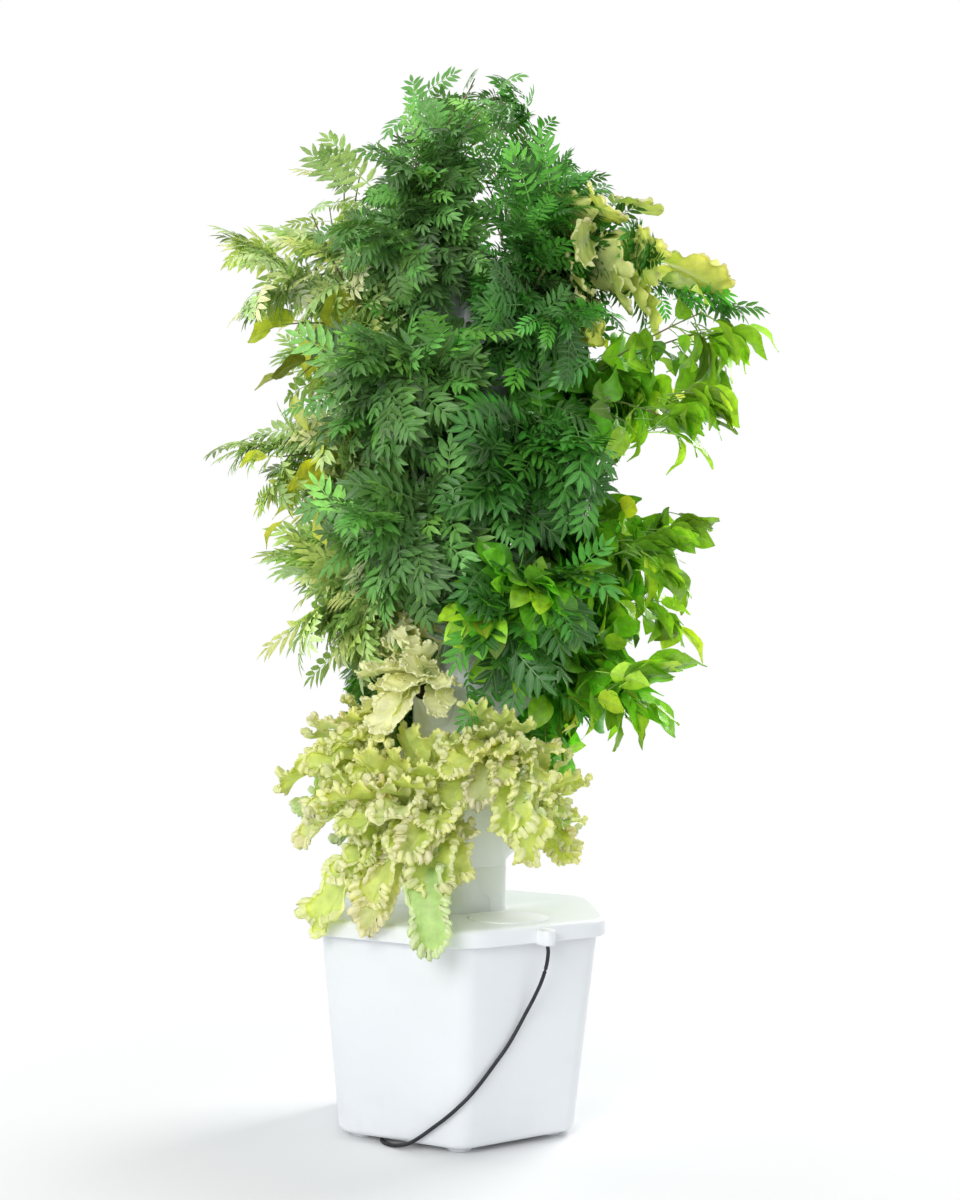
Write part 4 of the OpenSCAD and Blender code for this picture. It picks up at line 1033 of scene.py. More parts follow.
def past_crown(points):
    """True where a point lies outside the rounded top of the foliage, which narrows in step with its rise."""
    x, y, z = np.moveaxis(points, -1, 0)
    rise = z - CROWN_Z
    return (rise > 0) & (np.hypot(x, y) > CROWN_R - CROWN_SLOPE * rise) | (rise > CROWN_RISE)


class Foliage:
    """Leaves and stems of one tier, gathered as arrays and made into one piece."""

    MATERIALS = ("marigold_leaf", "herb_leaf", "lettuce_leaf", "stem_green")

    def __init__(self):
        self.points, self.faces, self.uv, self.tint, self.index = [], [], [], [], []
        self.count = 0

    def add(self, points, faces, uv, tint, material):
        """Adds one mesh with a colour and rim share for each point."""
        self.points.append(points)
        self.faces += [[i + self.count for i in face] for face in faces]
        self.uv.append(uv)
        self.tint.append(tint)
        self.index.append(np.full(len(faces), self.MATERIALS.index(material)))
        self.count += len(points)

    def scatter(self, leaf, material, base, along, normal, size, tint):
        """Places copies of a leaf: base + size * (x along + y across + z normal) for all copies at once.

        A copy that reaches well into the column or the lid, into the way of a moving piece, past the crown,
        or well past the box of the solids is left out.
        """
        across = unit(np.cross(normal, along))
        axes = np.stack([along, across, np.cross(along, across)], 1)
        points = base[:, None] + size[:, None, None] * np.einsum("vi,nij->nvj", leaf.points, axes)
        past = np.maximum(points - CAD_BOX[1], CAD_BOX[0] - points).max((1, 2))
        barred = (in_way(points) | past_crown(points)).any(1)
        free = (in_body(points).mean(1) < SUNK_SHARE) & ~barred & (past < BOX_SPARE)
        points, tint = points[free], tint[free]
        n, v = points.shape[:2]
        if n == 0:
            return
        faces = [[i + v * k for i in face] for k in range(n) for face in leaf.faces]
        colour = np.column_stack([np.repeat(tint, v, axis=0), np.tile(leaf.rim, n)])
        self.add(points.reshape(-1, 3), faces, np.tile(leaf.uv, (n, 1)), colour, material)

    def strew(self, leaves, rng, material, *arrays):
        """Scatters leaves whose shapes are drawn at random; the arrays are those that scatter takes."""
        kind = rng.integers(0, len(leaves), len(arrays[0]))
        for n, leaf in enumerate(leaves):
            pick = kind == n
            if pick.any():
                self.scatter(leaf, material, *(values[pick] for values in arrays))

    def stem(self, path, radius):
        """Adds a tapering five-sided stem along a path."""
        points, faces = swept(path, radius * np.linspace(1, 0.4, len(path)), 5)
        self.add(points, faces, np.full((len(points), 2), 0.5), np.zeros((len(points), 4)), "stem_green")

    def build(self, name):
        """One piece from all that was added, with its tints and UV map."""
        piece = make_piece(name, np.concatenate(self.points), self.faces, finish(self.MATERIALS[0]))
        mesh = piece.data
        for other in self.MATERIALS[1:]:
            mesh.materials.append(finish(other))
        mesh.polygons.foreach_set("material_index", np.concatenate(self.index).astype(np.int32))
        layer = mesh.attributes.new("tint", "FLOAT_COLOR", "POINT")
        layer.data.foreach_set("color", np.concatenate(self.tint).astype(np.float32).ravel())
        corner = np.empty(len(mesh.loops), np.int32)
        mesh.loops.foreach_get("vertex_index", corner)
        uv = np.concatenate(self.uv)[corner].astype(np.float32)
        mesh.uv_layers.new(name="leaf").data.foreach_set("uv", uv.ravel())
        mesh.update()
        return piece


# What grows in each port, by section and port: kind, reach from the axis, rise above the port's mouth
PLANTING = [
    [("head", 0.0, 0.0), ("head", 0.0, 0.0), ("rosette", 0.0, 0.0)],
    [("head", 0.0, 0.0), ("herb", 0.330, 0.06), ("head", 0.0, 0.0)],
    [("head", 0.0, 0.0), ("herb", 0.420, 0.17), ("marigold", 0.270, 0.06)],
    [("mixed", 0.310, 0.06), ("herb", 0.400, 0.09), ("marigold", 0.280, 0.12)],
    [("marigold", 0.320, 0.08), ("herb", 0.460, -0.03), ("marigold", 0.340, 0.10)],
    [("marigold", 0.340, 0.10), ("marigold", 0.370, 0.11), ("accent", 0.390, 0.15)],
    [("marigold", 0.360, 0.12), ("pepper", 0.520, 0.19), ("marigold", 0.370, 0.13)],
    [("tall", 0.350, 0.38), ("marigold", 0.430, 0.26), ("accent", 0.390, 0.30)],
    [("tall", 0.340, 0.40), ("bolted", 0.440, 0.35), ("tall", 0.400, 0.38)],
]

# Leaves of each lettuce in view, as in its solid and then those between: turn from the port's face, climb,
# length as a share of a full leaf, droop to the tip, all angles in degrees, and tone
HEADS = {
    (1, 0): [
        (46, 86, 0.75, 40, 0), (-28, 85, 0.8, 40, 0), (-46, 55, 0.83, 40, 0), (-13, 43, 0.73, 50, 1),
        (13, 14, 0.93, 70, 0), (-23, 1, 0.9, 65, 0), (35, 29, 0.87, 75, 0), (63, 61, 0.61, 45, 0),
        (-29, -15, 1.35, 70, 0), (21, -10, 1.5, 75, 2), (40, 14, 0.97, 85, 3), (16, 46, 0.8, 45, 0),
        (-62, 40, 0.9, 45, 0), (-52, 18, 1, 45, 1), (-5, 66, 0.75, 40, 0), (28, 62, 0.7, 45, 0),
        (-38, 32, 0.95, 50, 0), (2, 30, 0.95, 60, 1), (52, 36, 0.7, 55, 0), (-8, -8, 1.05, 70, 0),
        (30, 2, 1, 80, 0), (-40, -4, 1, 60, 1), (5, -22, 1.2, 60, 3), (60, 20, 0.65, 70, 3),
        (-18, 20, 0.9, 60, 0), (48, -2, 0.8, 75, 0),
    ],
    (1, 1): [
        (-46, 43, 0.5, 45, 0), (-69, 75, 0.69, 40, 0), (-18, 15, 0.52, 50, 0), (3, 45, 0.64, 45, 0),
        (-8, 67, 0.65, 35, 1), (-40, 12, 0.55, 55, 2), (30, 40, 0.42, 70, 0), (45, 20, 0.4, 80, 0),
        (20, 5, 0.45, 80, 2), (-80, 50, 0.7, 50, 0), (-62, 30, 0.7, 60, 2), (-30, 55, 0.6, 50, 0),
        (-55, 8, 0.7, 70, 0), (60, 50, 0.4, 70, 0), (-90, 20, 0.75, 70, 0), (10, 25, 0.5, 70, 1),
        (-70, -5, 0.75, 60, 0),
    ],
    (2, 0): [
        (-4, -19, 1.13, 80, 0), (-27, 6, 0.65, 65, 0), (-57, 42, 0.44, 40, 1), (-1, 11, 0.46, 50, 0),
        (11, -15, 0.73, 70, 2), (-36, 24, 0.62, 60, 0), (-45, -4, 0.85, 60, 3), (-18, -12, 1, 75, 0),
        (35, 20, 0.55, 50, 0), (-75, 60, 0.6, 50, 0), (-85, 30, 0.65, 60, 0), (-62, 12, 0.75, 65, 0),
        (-30, 60, 0.5, 50, 0), (-70, -15, 0.8, 60, 0), (10, 50, 0.5, 50, 0), (-10, 30, 0.5, 60, 1),
        (20, -5, 0.7, 70, 0), (-52, 25, 0.6, 60, 0), (-95, 5, 0.7, 60, 0),
    ],
    (2, 2): [
        (-9, 36, 0.62, 40, 1), (32, 50, 0.51, 35, 0), (15, 14, 0.73, 45, 0), (2, -3, 1.05, 45, 0),
        (26, -18, 1.13, 65, 1), (42, -11, 0.7, 50, 0), (-16, -12, 1.06, 55, 2), (55, 65, 0.46, 30, 0),
        (0, 60, 0.6, 40, 0), (20, 32, 0.75, 45, 1), (-25, 25, 0.8, 50, 0), (-45, 10, 0.85, 50, 0),
        (38, 10, 0.85, 60, 0), (10, -20, 1, 55, 1), (55, 30, 0.75, 55, 0), (65, 5, 0.8, 65, 0),
        (45, 45, 0.65, 45, 0),
    ],
    (3, 0): [
        (-51, 11, 0.48, 45, 4), (-56, 54, 0.5, 40, 4), (-40, 81, 0.59, 35, 4), (19, 90, 0.62, 30, 5),
        (40, 16, 0.42, 55, 4), (-14, -10, 0.7, 65, 4), (7, 53, 0.48, 45, 4), (-3, 11, 0.53, 50, 4),
        (-70, 25, 0.6, 50, 4), (-65, 70, 0.6, 35, 5), (-30, 30, 0.6, 50, 4), (-75, 0, 0.65, 60, 4),
        (-20, 65, 0.55, 40, 4), (-60, -12, 0.7, 65, 4), (-35, -20, 0.7, 60, 5), (-85, 45, 0.6, 45, 4),
        (20, 30, 0.45, 60, 4), (0, 30, 0.34, 80, 4), (-25, 5, 0.34, 80, 4), (30, 55, 0.34, 60, 4),
        (-45, 35, 0.36, 80, 4), (60, -5, 0.36, 70, 4), (75, 25, 0.36, 70, 4), (45, -20, 0.4, 60, 4),
    ],
}

# Way of the first port of odd and of even sections, in degrees
ODD_FACE = 210
EVEN_FACE = 270


class Plant:
    """Frame of one port: outwards, sideways and up from its mouth, and the way that its leaves face."""

    def __init__(self, tier, port):
        self.tier = tier
        self.port = port
        self.face = math.radians((ODD_FACE if tier % 2 else EVEN_FACE) + 360 / PORTS * port)
        self.out = np.array([math.cos(self.face), math.sin(self.face), 0.0])
        self.side = np.array([-math.sin(self.face), math.cos(self.face), 0.0])
        self.up = np.array([0.0, 0.0, 1.0])
        self.z = FOOT_TOP + (tier - 1) * SECTION_H + MOUTH_Z
        self.mouth = MOUTH_R * self.out + self.z * self.up
        self.axis = math.cos(PORT_TILT) * self.out + math.sin(PORT_TILT) * self.up
        self.facing = 0.65 * self.up + 0.8 * self.out

    def at(self, r, y, z):
        """World points from distance, sideways and height above the mouth."""
        r, y, z = (np.asarray(q, float)[..., None] for q in (r, y, z))
        return r * self.out + y * self.side + (z + self.z) * self.up

    def shoot(self, tip, steps):
        """Line from the plug to a tip: straight out of the port, then bending towards the tip."""
        c = self.mouth + self.axis * 0.5 * np.linalg.norm(tip - self.mouth)
        t = np.linspace(0, 1, steps)[:, None]
        curve = (1 - t) ** 2 * self.mouth + 2 * t * (1 - t) * c + t**2 * tip
        return np.concatenate([(self.mouth - 0.02 * self.axis)[None], curve])


def squared(want, along):
    """Unit vectors nearest to want that are square to along."""
    return unit(want - (want * along).sum(-1, keepdims=True) * along)


def tinted(colour, rng, n, spread, light):
    """Colours near one colour: brightness varies by spread, and light moves some towards yellow."""
    base = np.tile(colour, (n, 1)) * np.exp(rng.normal(0, spread, (n, 1)))
    warm = np.clip(rng.normal(0, 0.35, (n, 1)) + light, 0, 1)
    return base * (1 - warm) + base * np.array([1.9, 1.55, 1.0]) * warm


def aged(young, old, share, rng):
    """Colours from old to young by share, each a little lighter, darker or yellower."""
    tint = tinted((1.0, 1.0, 1.0), rng, len(share), 0.42, 0.05)
    return np.clip(tint * (np.array(old) * (1 - share) + np.array(young) * share), 0, 1)


def solid_faces(plant):
    """Corners of the faces of a tier's solid that lie in one plant's wedge, as an array of triangles."""
    mesh = NODES[f"plants_{plant.tier}"].data
    mesh.calc_loop_triangles()
    index = np.empty(len(mesh.loop_triangles) * 3, np.int32)
    mesh.loop_triangles.foreach_get("vertices", index)
    points = np.empty(len(mesh.vertices) * 3, np.float32)
    mesh.vertices.foreach_get("co", points)
    corners = points.reshape(-1, 3)[index].reshape(-1, 3, 3).astype(float)
    middle = corners.mean(1)
    return corners[(middle @ plant.out) > 1.6 * np.abs(middle @ plant.side)]


# Leaf shapes: droop of the pinnate ones, droop and half width of the broad ones and of those that hang, and
# droop of the pale ones
PINNATE_SHAPES = (0.2, 0.5, 0.8, 1.1, 0.6, 0.35)
OVATE_SHAPES = ((0.3, 0.24), (0.7, 0.27), (1.1, 0.25), (0.5, 0.22), (0.9, 0.28))
HANGING_SHAPES = ((1.6, 0.22), (1.3, 0.20), (1.9, 0.24))
PALE_SHAPES = (0.2, 0.5, 0.9)

# Tips of a plant's main shoots, as in its solid, by shares of its reach and rise: out, sideways, height
HABITS = {
    "tall": [[1, 0, 0.1], [0.66, 0.2, 0.6], [0.3, -0.05, 1], [0.5, -0.16, 0.8]],
    "broad": [[1, 0, 1], [0.75, 0.28, 0.6], [0.8, -0.3, 0]],
    "bush": [[1, 0, 0.5], [0.75, 0.28, 1], [0.8, -0.3, 0]],
}
HABIT_OF = {"tall": "tall", "bolted": "tall", "herb": "broad", "pepper": "broad", "mixed": "broad"}
# Share of the rise at which the shoots end, below the leaves at their tips
HEIGHT_OF = {"tall": 0.84, "bolted": 0.7, "accent": 0.7}
# Length of a leaf plate in the solids of broad plants and of others, and shoots drawn between the main ones
BROAD_PLATE = 0.135
SLIM_PLATE = 0.165
MORE_SHOOTS = 9
# Radius of a shoot at its foot
STEM_R = 0.0033

# Tips of shoots that are not in the solids, in metres: out from the column's axis, sideways, above the mouth
NEAR_PINNATE = ([0.17, 0.18, 0.20, 0.16], [0.085, -0.085, 0.0, -0.04], [0.04, 0.02, -0.04, 0.09])
NEAR_BROAD = ([0.15, 0.17, 0.16, 0.19], [0.06, -0.07, 0.0, -0.02], [-0.05, -0.01, -0.09, 0.03])
FRONDS = ([0.16, 0.15, 0.17], [-0.085, -0.03, 0.06], [-0.08, -0.12, -0.1])
SHOULDER = ([0.20, 0.26, 0.23, 0.29], [0.0, -0.05, 0.07, 0.04], [0.36, 0.30, 0.31, 0.26])
LIME_SPRIGS = ([0.34, 0.29, 0.31], [0.04, -0.02, 0.09], [0.05, -0.02, -0.06])
PALE_SPRIGS = ([0.37, 0.35, 0.27, 0.22], [-0.02, -0.08, -0.05, -0.09], [0.03, 0.06, 0.17, 0.10])
CROWN_SPRAY = (
    [0.12, 0.09, 0.05, 0.13, 0.02, 0.08],
    [0.0, 0.06, -0.05, -0.05, 0.03, -0.01],
    [0.30, 0.35, 0.37, 0.26, 0.40, 0.33],
)
OVER_CAP = (
    [-0.08, -0.05, -0.02, 0.03, 0.07, 0.10],
    [0.03, -0.05, 0.0, 0.07, -0.06, 0.02],
    [0.35, 0.38, 0.41, 0.36, 0.37, 0.33],
)

# Sections whose foliage is mostly lettuce, leaves of a rosette, and the first tone with a broad pale rim
LETTUCE_TIERS = 2
ROSETTE_LEAVES = 15
PALE_TONE = 4


class Grower:
    """Grows the plants of one tier after another, from a few leaf shapes and one row of random draws.

    A look is the colour of young leaves, that of old leaves, and the name of their material.
    """

    def __init__(self, s):
        self.s = s
        self.rng = np.random.default_rng(s.seed)
        self.pinnate = [pinnate_leaf(self.rng, droop) for droop in PINNATE_SHAPES]
        self.ovate = [ovate_leaf(self.rng, *shape) for shape in OVATE_SHAPES]
        self.hanging = [ovate_leaf(self.rng, *shape) for shape in HANGING_SHAPES]
        self.pale = [frilly_leaf(self.rng, droop, 0.40, 0.035, 22) for droop in PALE_SHAPES]
        self.green = (s.marigold_tip, s.marigold, "marigold_leaf")
        # Colour, half width and frill of a lettuce leaf of each tone
        self.tones = [
            (s.lettuce, 0.22, 0.05), (s.butter, 0.24, 0.048), (s.grey, 0.19, 0.05), (s.blush, 0.18, 0.05),
            (s.butter, 0.32, 0.036), (s.lettuce, 0.30, 0.036),
        ]

    def grow(self, tier):
        """One piece with all plants of a tier."""
        ways = {
            "head": self.head, "rosette": self.rosette, "herb": self.herb, "pepper": self.pepper,
            "mixed": self.mixed, "marigold": self.marigold, "accent": self.accent, "bolted": self.bolted,
            "tall": self.tall,
        }
        self.foliage = Foliage()
        for port, (kind, reach, rise) in enumerate(PLANTING[tier - 1]):
            self.plant = Plant(tier, port)
            # A lettuce has no use for the tips, but they are drawn for it too
            ways[kind](self.shoot_tips(kind, reach, rise))
        return self.foliage.build(f"foliage_{tier}")

    def shoot_tips(self, kind, reach, rise):
        """Tips of a plant's shoots: those of its solid, and others between them."""
        habit = HABIT_OF.get(kind, "bush")
        far = reach - 0.5 * (BROAD_PLATE if habit == "broad" else SLIM_PLATE)
        rise = rise * HEIGHT_OF.get(kind, 1.0)
        main = np.array(HABITS[habit], float) * [far, far, rise]
        if kind == "tall" and self.plant.tier == TIERS:
            main[:, :2] *= 1 - 0.4 * main[:, 2:] / rise
        weight = self.rng.dirichlet(np.full(len(main), 0.7), MORE_SHOOTS)
        more = weight @ main
        more[:, 0] *= self.rng.uniform(0.78, 1.0, MORE_SHOOTS)
        more += self.rng.normal(0, 1, more.shape) * [0.012, 0.045, 0.04]
        return self.plant.at(*np.concatenate([main, more]).T)

    def shoots(self, tips, leaves, nodes, size, look, pairs=1, lean=0.6):
        """Shoots with leaves in a golden spiral, singly or in pairs, smaller and younger towards the tips.

        The lean is how far the leaves at the tip follow the shoot; with little lean they spread level.
        """
        plant, rng = self.plant, self.rng
        young, old, material = look
        for i, tip in enumerate(tips):
            path = plant.shoot(tip, 9)
            self.foliage.stem(path, STEM_R)
            t = np.repeat(np.linspace(0.2, 1.0, nodes), pairs)
            where = t * (len(path) - 2) + 1
            low = np.minimum(where.astype(int), len(path) - 2)
            frac = (where - low)[:, None]
            base = path[low] * (1 - frac) + path[low + 1] * frac
            tangent = unit(path[low + 1] - path[low])
            side = unit(np.cross(tangent, plant.up + 0.01 * plant.side))
            lift = np.cross(side, tangent)
            turn = np.repeat(GOLDEN * np.arange(nodes), pairs) + np.tile(np.arange(pairs) * math.pi, nodes)
            a = (turn + rng.uniform(0, 6) + i)[:, None]
            along = (0.35 + lean * t)[:, None] * tangent + np.cos(a) * side + np.sin(a) * lift
            along = along + 0.35 * plant.out - 0.45 * plant.up
            along = unit(along + rng.normal(0, 0.15, along.shape))
            length = size * (1.05 - 0.28 * t) * rng.uniform(0.75, 1.15, len(t))
            normal = squared(plant.facing + rng.normal(0, 0.32, along.shape), along)
            tint = aged(young, old, (t**2)[:, None], rng)
            self.foliage.strew(leaves, rng, material, base, along, normal, length, tint)

    def clothe(self, leaves, count, size, look):
        """Leaves laid along the leaf plates of the plant's solid, pointing away from the port.

        Points are drawn on the faces by area, and the leaf through a point lies nearly in the face's plane.
        """
        plant, rng = self.plant, self.rng
        young, old, material = look
        a, b, c = np.moveaxis(solid_faces(plant), 1, 0)
        cross = np.cross(b - a, c - a)
        area = np.linalg.norm(cross, axis=1)
        pick = rng.choice(len(a), count, p=area / area.sum())
        u, v = np.sort(rng.uniform(0, 1, (2, count, 1)), axis=0)
        point = u * a[pick] + (v - u) * b[pick] + (1 - v) * c[pick]
        face = unit(cross[pick])
        face = face * np.where(face @ plant.facing < 0, -1.0, 1.0)[:, None]
        normal = unit(face + rng.normal(0, 0.22, face.shape))
        away = unit(point - plant.mouth) + 0.2 * plant.out - 0.35 * plant.up + rng.normal(0, 0.3, face.shape)
        along = squared(away, normal)
        length = size * rng.uniform(0.7, 1.1, count)
        base = point - 0.55 * length[:, None] * along
        share = np.clip(np.linalg.norm(point - plant.mouth, axis=1) / 0.35, 0, 1)[:, None] ** 2
        tint = aged(young, old, share, rng)
        self.foliage.strew(leaves, rng, material, base, along, normal, length, tint)

    def lettuce(self, table):
        """Lettuce from a table of leaves: turn, climb, share of the full length, droop and tone of each."""
        plant, rng = self.plant, self.rng
        crown = (plant.mouth + 0.012 * plant.axis)[None]
        for turn, climb, share, droop, tone in table:
            colour, wide, frill = self.tones[int(tone)]
            a, e = plant.face + math.radians(turn), math.radians(climb)
            along = np.array([[math.cos(a) * math.cos(e), math.sin(a) * math.cos(e), math.sin(e)]])
            upper = np.array([-math.cos(a) * math.sin(e), -math.sin(a) * math.sin(e), math.cos(e)])
            normal = squared(upper + rng.normal(0, 0.25, (1, 3)), along)
            slim = 1 / max(1.0, share)
            leaf = frilly_leaf(rng, math.radians(droop), slim * wide * rng.uniform(0.9, 1.1), slim * frill)
            if tone >= PALE_TONE:
                leaf.rim = 0.5 + 0.5 * leaf.rim
            tint = np.clip(tinted(colour, rng, 1, 0.1, 0.1), 0, 1)
            size = np.array([share * self.s.lettuce_len])
            self.foliage.scatter(leaf, "lettuce_leaf", crown + 0.006 * along, along, normal, size, tint)

    def pinnate_bush(self, tips, nodes, size, lean=0.6):
        """Pinnate leaves on shoots, on the solid's plates and near the port, paler on the backlit side as a
        painted backlight.
        """
        s = self.s
        # Painted backlight: a plant facing BACK_LIT has its leaf colours blended towards the pale backlight
        # colour, for light shining through the leaves from behind
        backlight_share = 0.85 * max(0.0, self.plant.out @ BACK_LIT) ** 3
        young, old = (
            np.array(colour) * (1 - backlight_share) + np.array(s.painted_backlight) * backlight_share
            for colour in (s.marigold_tip, s.marigold)
        )
        look = (young, old, "marigold_leaf")
        self.shoots(tips, self.pinnate, nodes, size, look, 1, lean)
        self.clothe(self.pinnate, 10 * len(tips), size, look)
        self.shoots(self.plant.at(*NEAR_PINNATE), self.pinnate, 6, size, look)

    def broad_bush(self, tips, nodes, size, leaves):
        """Broad leaves in pairs on shoots, and singly on the solid's plates and near the port."""
        look = (self.s.herb_tip, self.s.herb, "herb_leaf")
        self.shoots(tips, leaves, nodes, size, look, 2)
        self.clothe(leaves, 11 * len(tips), size, look)
        self.shoots(self.plant.at(*NEAR_BROAD), leaves, 4, size, look)

    def head(self, tips):
        """Lettuce in view, leaf by leaf."""
        self.lettuce(HEADS[self.plant.tier, self.plant.port])

    def rosette(self, tips):
        """Lettuce at the back, with leaves spread evenly round."""
        n, rng = ROSETTE_LEAVES, self.rng
        turn = np.linspace(-85, 85, n)
        climb = rng.permutation(np.linspace(-10, 75, n))
        share = rng.uniform(0.7, 1.0, n)
        droop = rng.uniform(40, 65, n)
        tone = rng.integers(0, 3, n)
        self.lettuce(np.column_stack([turn, climb, share, droop, tone]).tolist())

    def herb(self, tips):
        """Herb with broad leaves."""
        self.broad_bush(tips[:10], 7, self.s.broad_len * 1.45, self.ovate)

    def pepper(self, tips):
        """Plant with larger broad leaves that hang."""
        self.broad_bush(tips[:8], 6, self.s.broad_len * 1.7, self.hanging)

    def mixed(self, tips):
        """Herb with a few marigold shoots, and fronds below them."""
        self.broad_bush(tips[:7], 7, self.s.broad_len * 1.35, self.ovate)
        self.pinnate_bush(tips[7:11], 9, self.s.marigold_len)
        self.shoots(self.plant.at(*FRONDS), self.pinnate, 4, self.s.marigold_len, self.green)

    def marigold(self, tips):
        """Marigold of full leaves."""
        self.pinnate_bush(tips[:10], 10, self.s.marigold_len)

    def accent(self, tips):
        """Marigold with lime sprigs; in the last section but one it also fills the shoulder of the crown."""
        if self.plant.tier == TIERS - 1:
            tips = np.concatenate([tips, self.plant.at(*SHOULDER)])
        self.pinnate_bush(tips, 10, self.s.marigold_len * 0.9, 0.3)
        lime = (self.s.lime, self.s.lime, "herb_leaf")
        self.shoots(self.plant.at(*LIME_SPRIGS), self.ovate, 5, 0.14, lime)

    def bolted(self, tips):
        """Marigold with a spray of small leaves in the crown, and pale sprigs."""
        s = self.s
        self.pinnate_bush(tips, 10, s.marigold_len * 0.8)
        self.shoots(self.plant.at(*CROWN_SPRAY), self.pinnate, 12, s.marigold_len * 0.68, self.green, 1, 0.2)
        pale = (s.lettuce, s.lettuce, "lettuce_leaf")
        self.shoots(self.plant.at(*PALE_SPRIGS), self.pale, 6, 0.18, pale)

    def tall(self, tips):
        """Tall marigold of small leaves; in the top section it also leans over the cap."""
        size = self.s.marigold_len * 0.68
        self.pinnate_bush(tips, 13, size, 0.2)
        if self.plant.tier == TIERS:
            self.pinnate_bush(self.plant.at(*OVER_CAP), 12, size, 0.2)


class TOWER_OT_foliage(bpy.types.Operator):
    """Plants of every port, one piece for each tier"""

    bl_idname = "tower.foliage"
    bl_label = "Foliage"

    def execute(self, context):
        grower = Grower(settings("foliage"))
        for tier in range(1, TIERS + 1):
            slot = "lettuce_leaf" if tier <= LETTUCE_TIERS else "herb_leaf"
            stand_for(grower.grow(tier), "stand", slot, f"plants_{tier}")
        return {"FINISHED"}


# Stage: half of the floor's side, soft boxes with their name, place, target, size and power in watts, height
# of the camera's sensor in millimetres, and height of the picture in pixels
FLOOR_HALF = 12.0
LAMPS = (
    ("key", (-3.1, -2.0, 2.0), (0.0, 0.0, 0.9), 1.9, 75.0),
    ("fill", (2.8, -2.4, 1.3), (0.0, 0.0, 0.9), 2.4, 5.0),
    ("back", (-1.6, 2.8, 1.9), (0.0, 0.0, 1.3), 2.0, 28.0),
    ("side", (2.6, 0.5, 2.3), (0.1, -0.1, 0.5), 1.6, 76.0),
)
SENSOR_H = 36.0
PICTURE_H = 1200.0


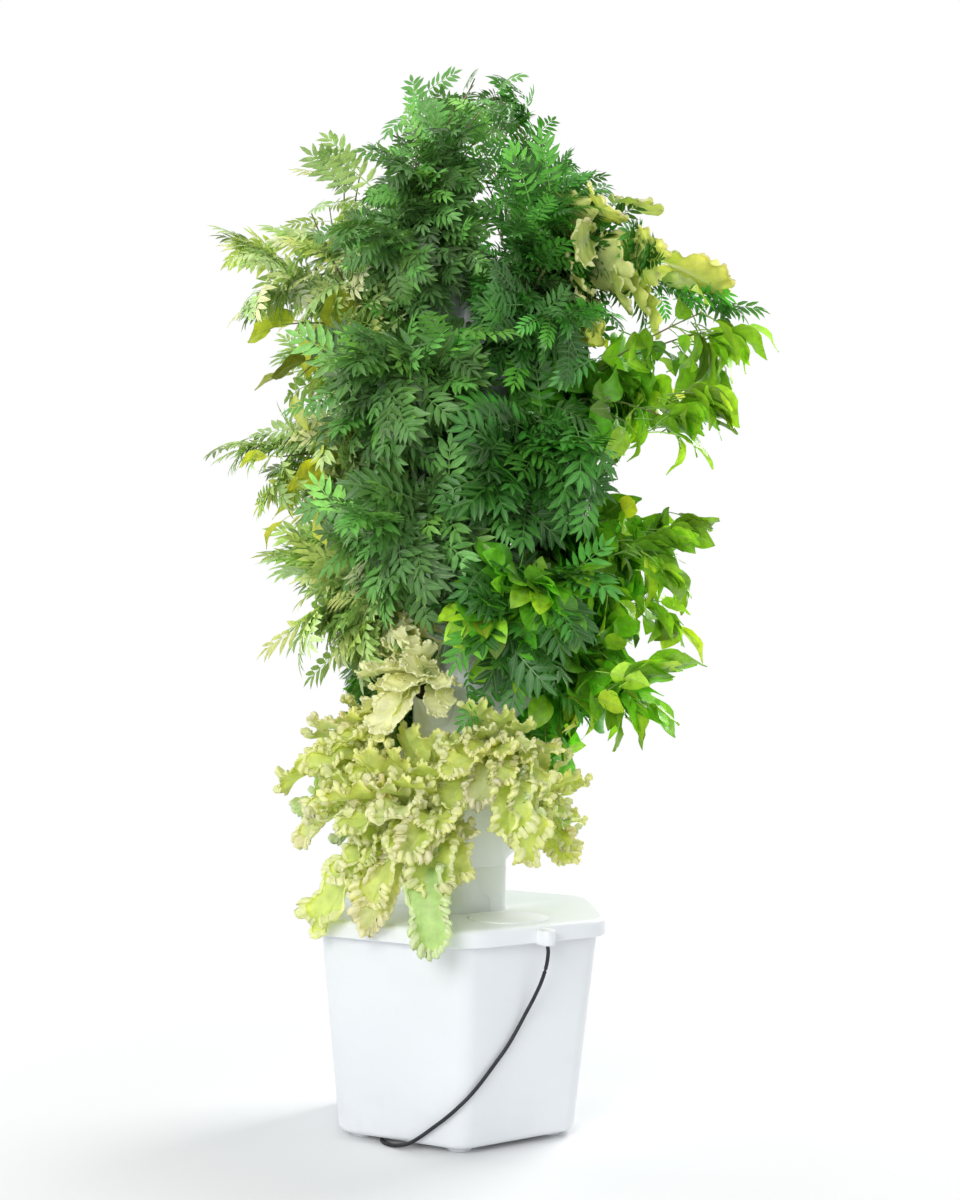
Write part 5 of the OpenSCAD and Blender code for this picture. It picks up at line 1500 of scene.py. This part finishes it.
class TOWER_OT_stage(bpy.types.Operator):
    """Pale floor, soft studio light, white surroundings and the camera"""

    bl_idname = "tower.stage"
    bl_label = "Stage"

    def execute(self, context):
        s = settings("stage")
        h = FLOOR_HALF
        corners = [[-h, -h, 0], [h, -h, 0], [h, h, 0], [-h, h, 0]]
        floor = make_piece("floor", corners, [[0, 1, 2, 3]], finish("pale_floor"), False)
        self.surroundings()
        for lamp in LAMPS:
            self.lamp(*lamp)
        self.camera(s)
        return {"FINISHED"}

    def surroundings(self):
        """World: soft grey-white light on the object, plain white to the camera and in reflections."""
        world = bpy.data.worlds.new("studio")
        bpy.context.scene.world = world
        world.use_nodes = True
        tree = world.node_tree
        ground = tree.nodes["Background"]
        ground.inputs["Color"].default_value = (0.93, 0.96, 1.0, 1.0)
        ground.inputs["Strength"].default_value = 0.54
        white = tree.nodes.new("ShaderNodeBackground")
        white.inputs["Color"].default_value = (1.0, 1.0, 1.0, 1.0)
        white.inputs["Strength"].default_value = 1.0
        mix = tree.nodes.new("ShaderNodeMixShader")
        tree.links.new(seen_by_camera(tree), mix.inputs[0])
        tree.links.new(ground.outputs[0], mix.inputs[1])
        tree.links.new(white.outputs[0], mix.inputs[2])
        tree.links.new(mix.outputs[0], tree.nodes["World Output"].inputs["Surface"])

    def lamp(self, name, place, target, size, power):
        """Square soft box aimed at a point."""
        light = bpy.data.lights.new(name, "AREA")
        light.size = size
        light.energy = power
        lamp = bpy.data.objects.new(name, light)
        bpy.context.scene.collection.objects.link(lamp)
        back = unit(np.array(place) - np.array(target))
        side = unit(np.cross([0.0, 0.0, 1.0], back))
        lamp.matrix_world = placed(side, np.cross(back, side), back, place)

    def camera(self, s):
        """Camera on a circle about the column, panned, tilted and rolled as the photograph was taken."""
        a, pan, tilt, roll = (math.radians(x) for x in (s.azimuth, s.pan, s.tilt, s.roll))
        place = np.array([math.sin(a) * s.distance, -math.cos(a) * s.distance, s.height])
        ahead = np.array([-math.sin(a), math.cos(a), 0.0])
        right = np.array([math.cos(a), math.sin(a), 0.0])
        up = np.array([0.0, 0.0, 1.0])
        ahead, right = (
            ahead * math.cos(pan) + right * math.sin(pan), right * math.cos(pan) - ahead * math.sin(pan)
        )
        ahead, up = ahead * math.cos(tilt) + up * math.sin(tilt), up * math.cos(tilt) - ahead * math.sin(tilt)
        right, up = right * math.cos(roll) + up * math.sin(roll), up * math.cos(roll) - right * math.sin(roll)
        data = bpy.data.cameras.new("camera")
        data.sensor_fit = "VERTICAL"
        data.sensor_height = SENSOR_H
        data.lens = SENSOR_H * s.focal / PICTURE_H
        camera = bpy.data.objects.new("camera", data)
        bpy.context.scene.collection.objects.link(camera)
        camera.matrix_world = placed(right, up, -ahead, place)
        bpy.context.scene.camera = camera


def placed(x, y, z, place):
    """Matrix of an object with those axes at a place."""
    m = np.eye(4)
    m[:3, 0], m[:3, 1], m[:3, 2], m[:3, 3] = x, y, z, place
    return Matrix(m.tolist())


OPERATORS = (
    TOWER_OT_stage,
    TOWER_OT_cord,
    TOWER_OT_tub,
    TOWER_OT_lid,
    TOWER_OT_column,
    TOWER_OT_workings,
    TOWER_OT_foliage,
)


class TOWER_PT_panel(bpy.types.Panel):
    """Lists the pieces of the tower"""

    bl_idname = "TOWER_PT_panel"
    bl_label = "Hydroponic tower"
    bl_space_type = "VIEW_3D"
    bl_region_type = "UI"
    bl_category = "Tower"

    def draw(self, context):
        for operator in OPERATORS:
            self.layout.operator(operator.bl_idname)


def register():
    """Adds the classes and the settings."""
    for group in GROUPS.values():
        bpy.utils.register_class(group)
    for name, group in GROUPS.items():
        setattr(bpy.types.Scene, "tower_" + name, PointerProperty(type=group))
    for operator in OPERATORS:
        bpy.utils.register_class(operator)
    bpy.utils.register_class(TOWER_PT_panel)


def unregister():
    """Takes the classes and the settings out again."""
    bpy.utils.unregister_class(TOWER_PT_panel)
    for operator in reversed(OPERATORS):
        bpy.utils.unregister_class(operator)
    for name in GROUPS:
        delattr(bpy.types.Scene, "tower_" + name)
    for group in GROUPS.values():
        bpy.utils.unregister_class(group)


def main():
    """Builds the whole tower on its stage."""
    register()
    bpy.context.scene.view_settings.view_transform = "Standard"
    bpy.ops.tower.stage()
    bpy.ops.tower.cord()
    bpy.ops.tower.tub()
    bpy.ops.tower.lid()
    bpy.ops.tower.column()
    bpy.ops.tower.workings()
    bpy.ops.tower.foliage()
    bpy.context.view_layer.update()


if __name__ == "__main__":
    main()
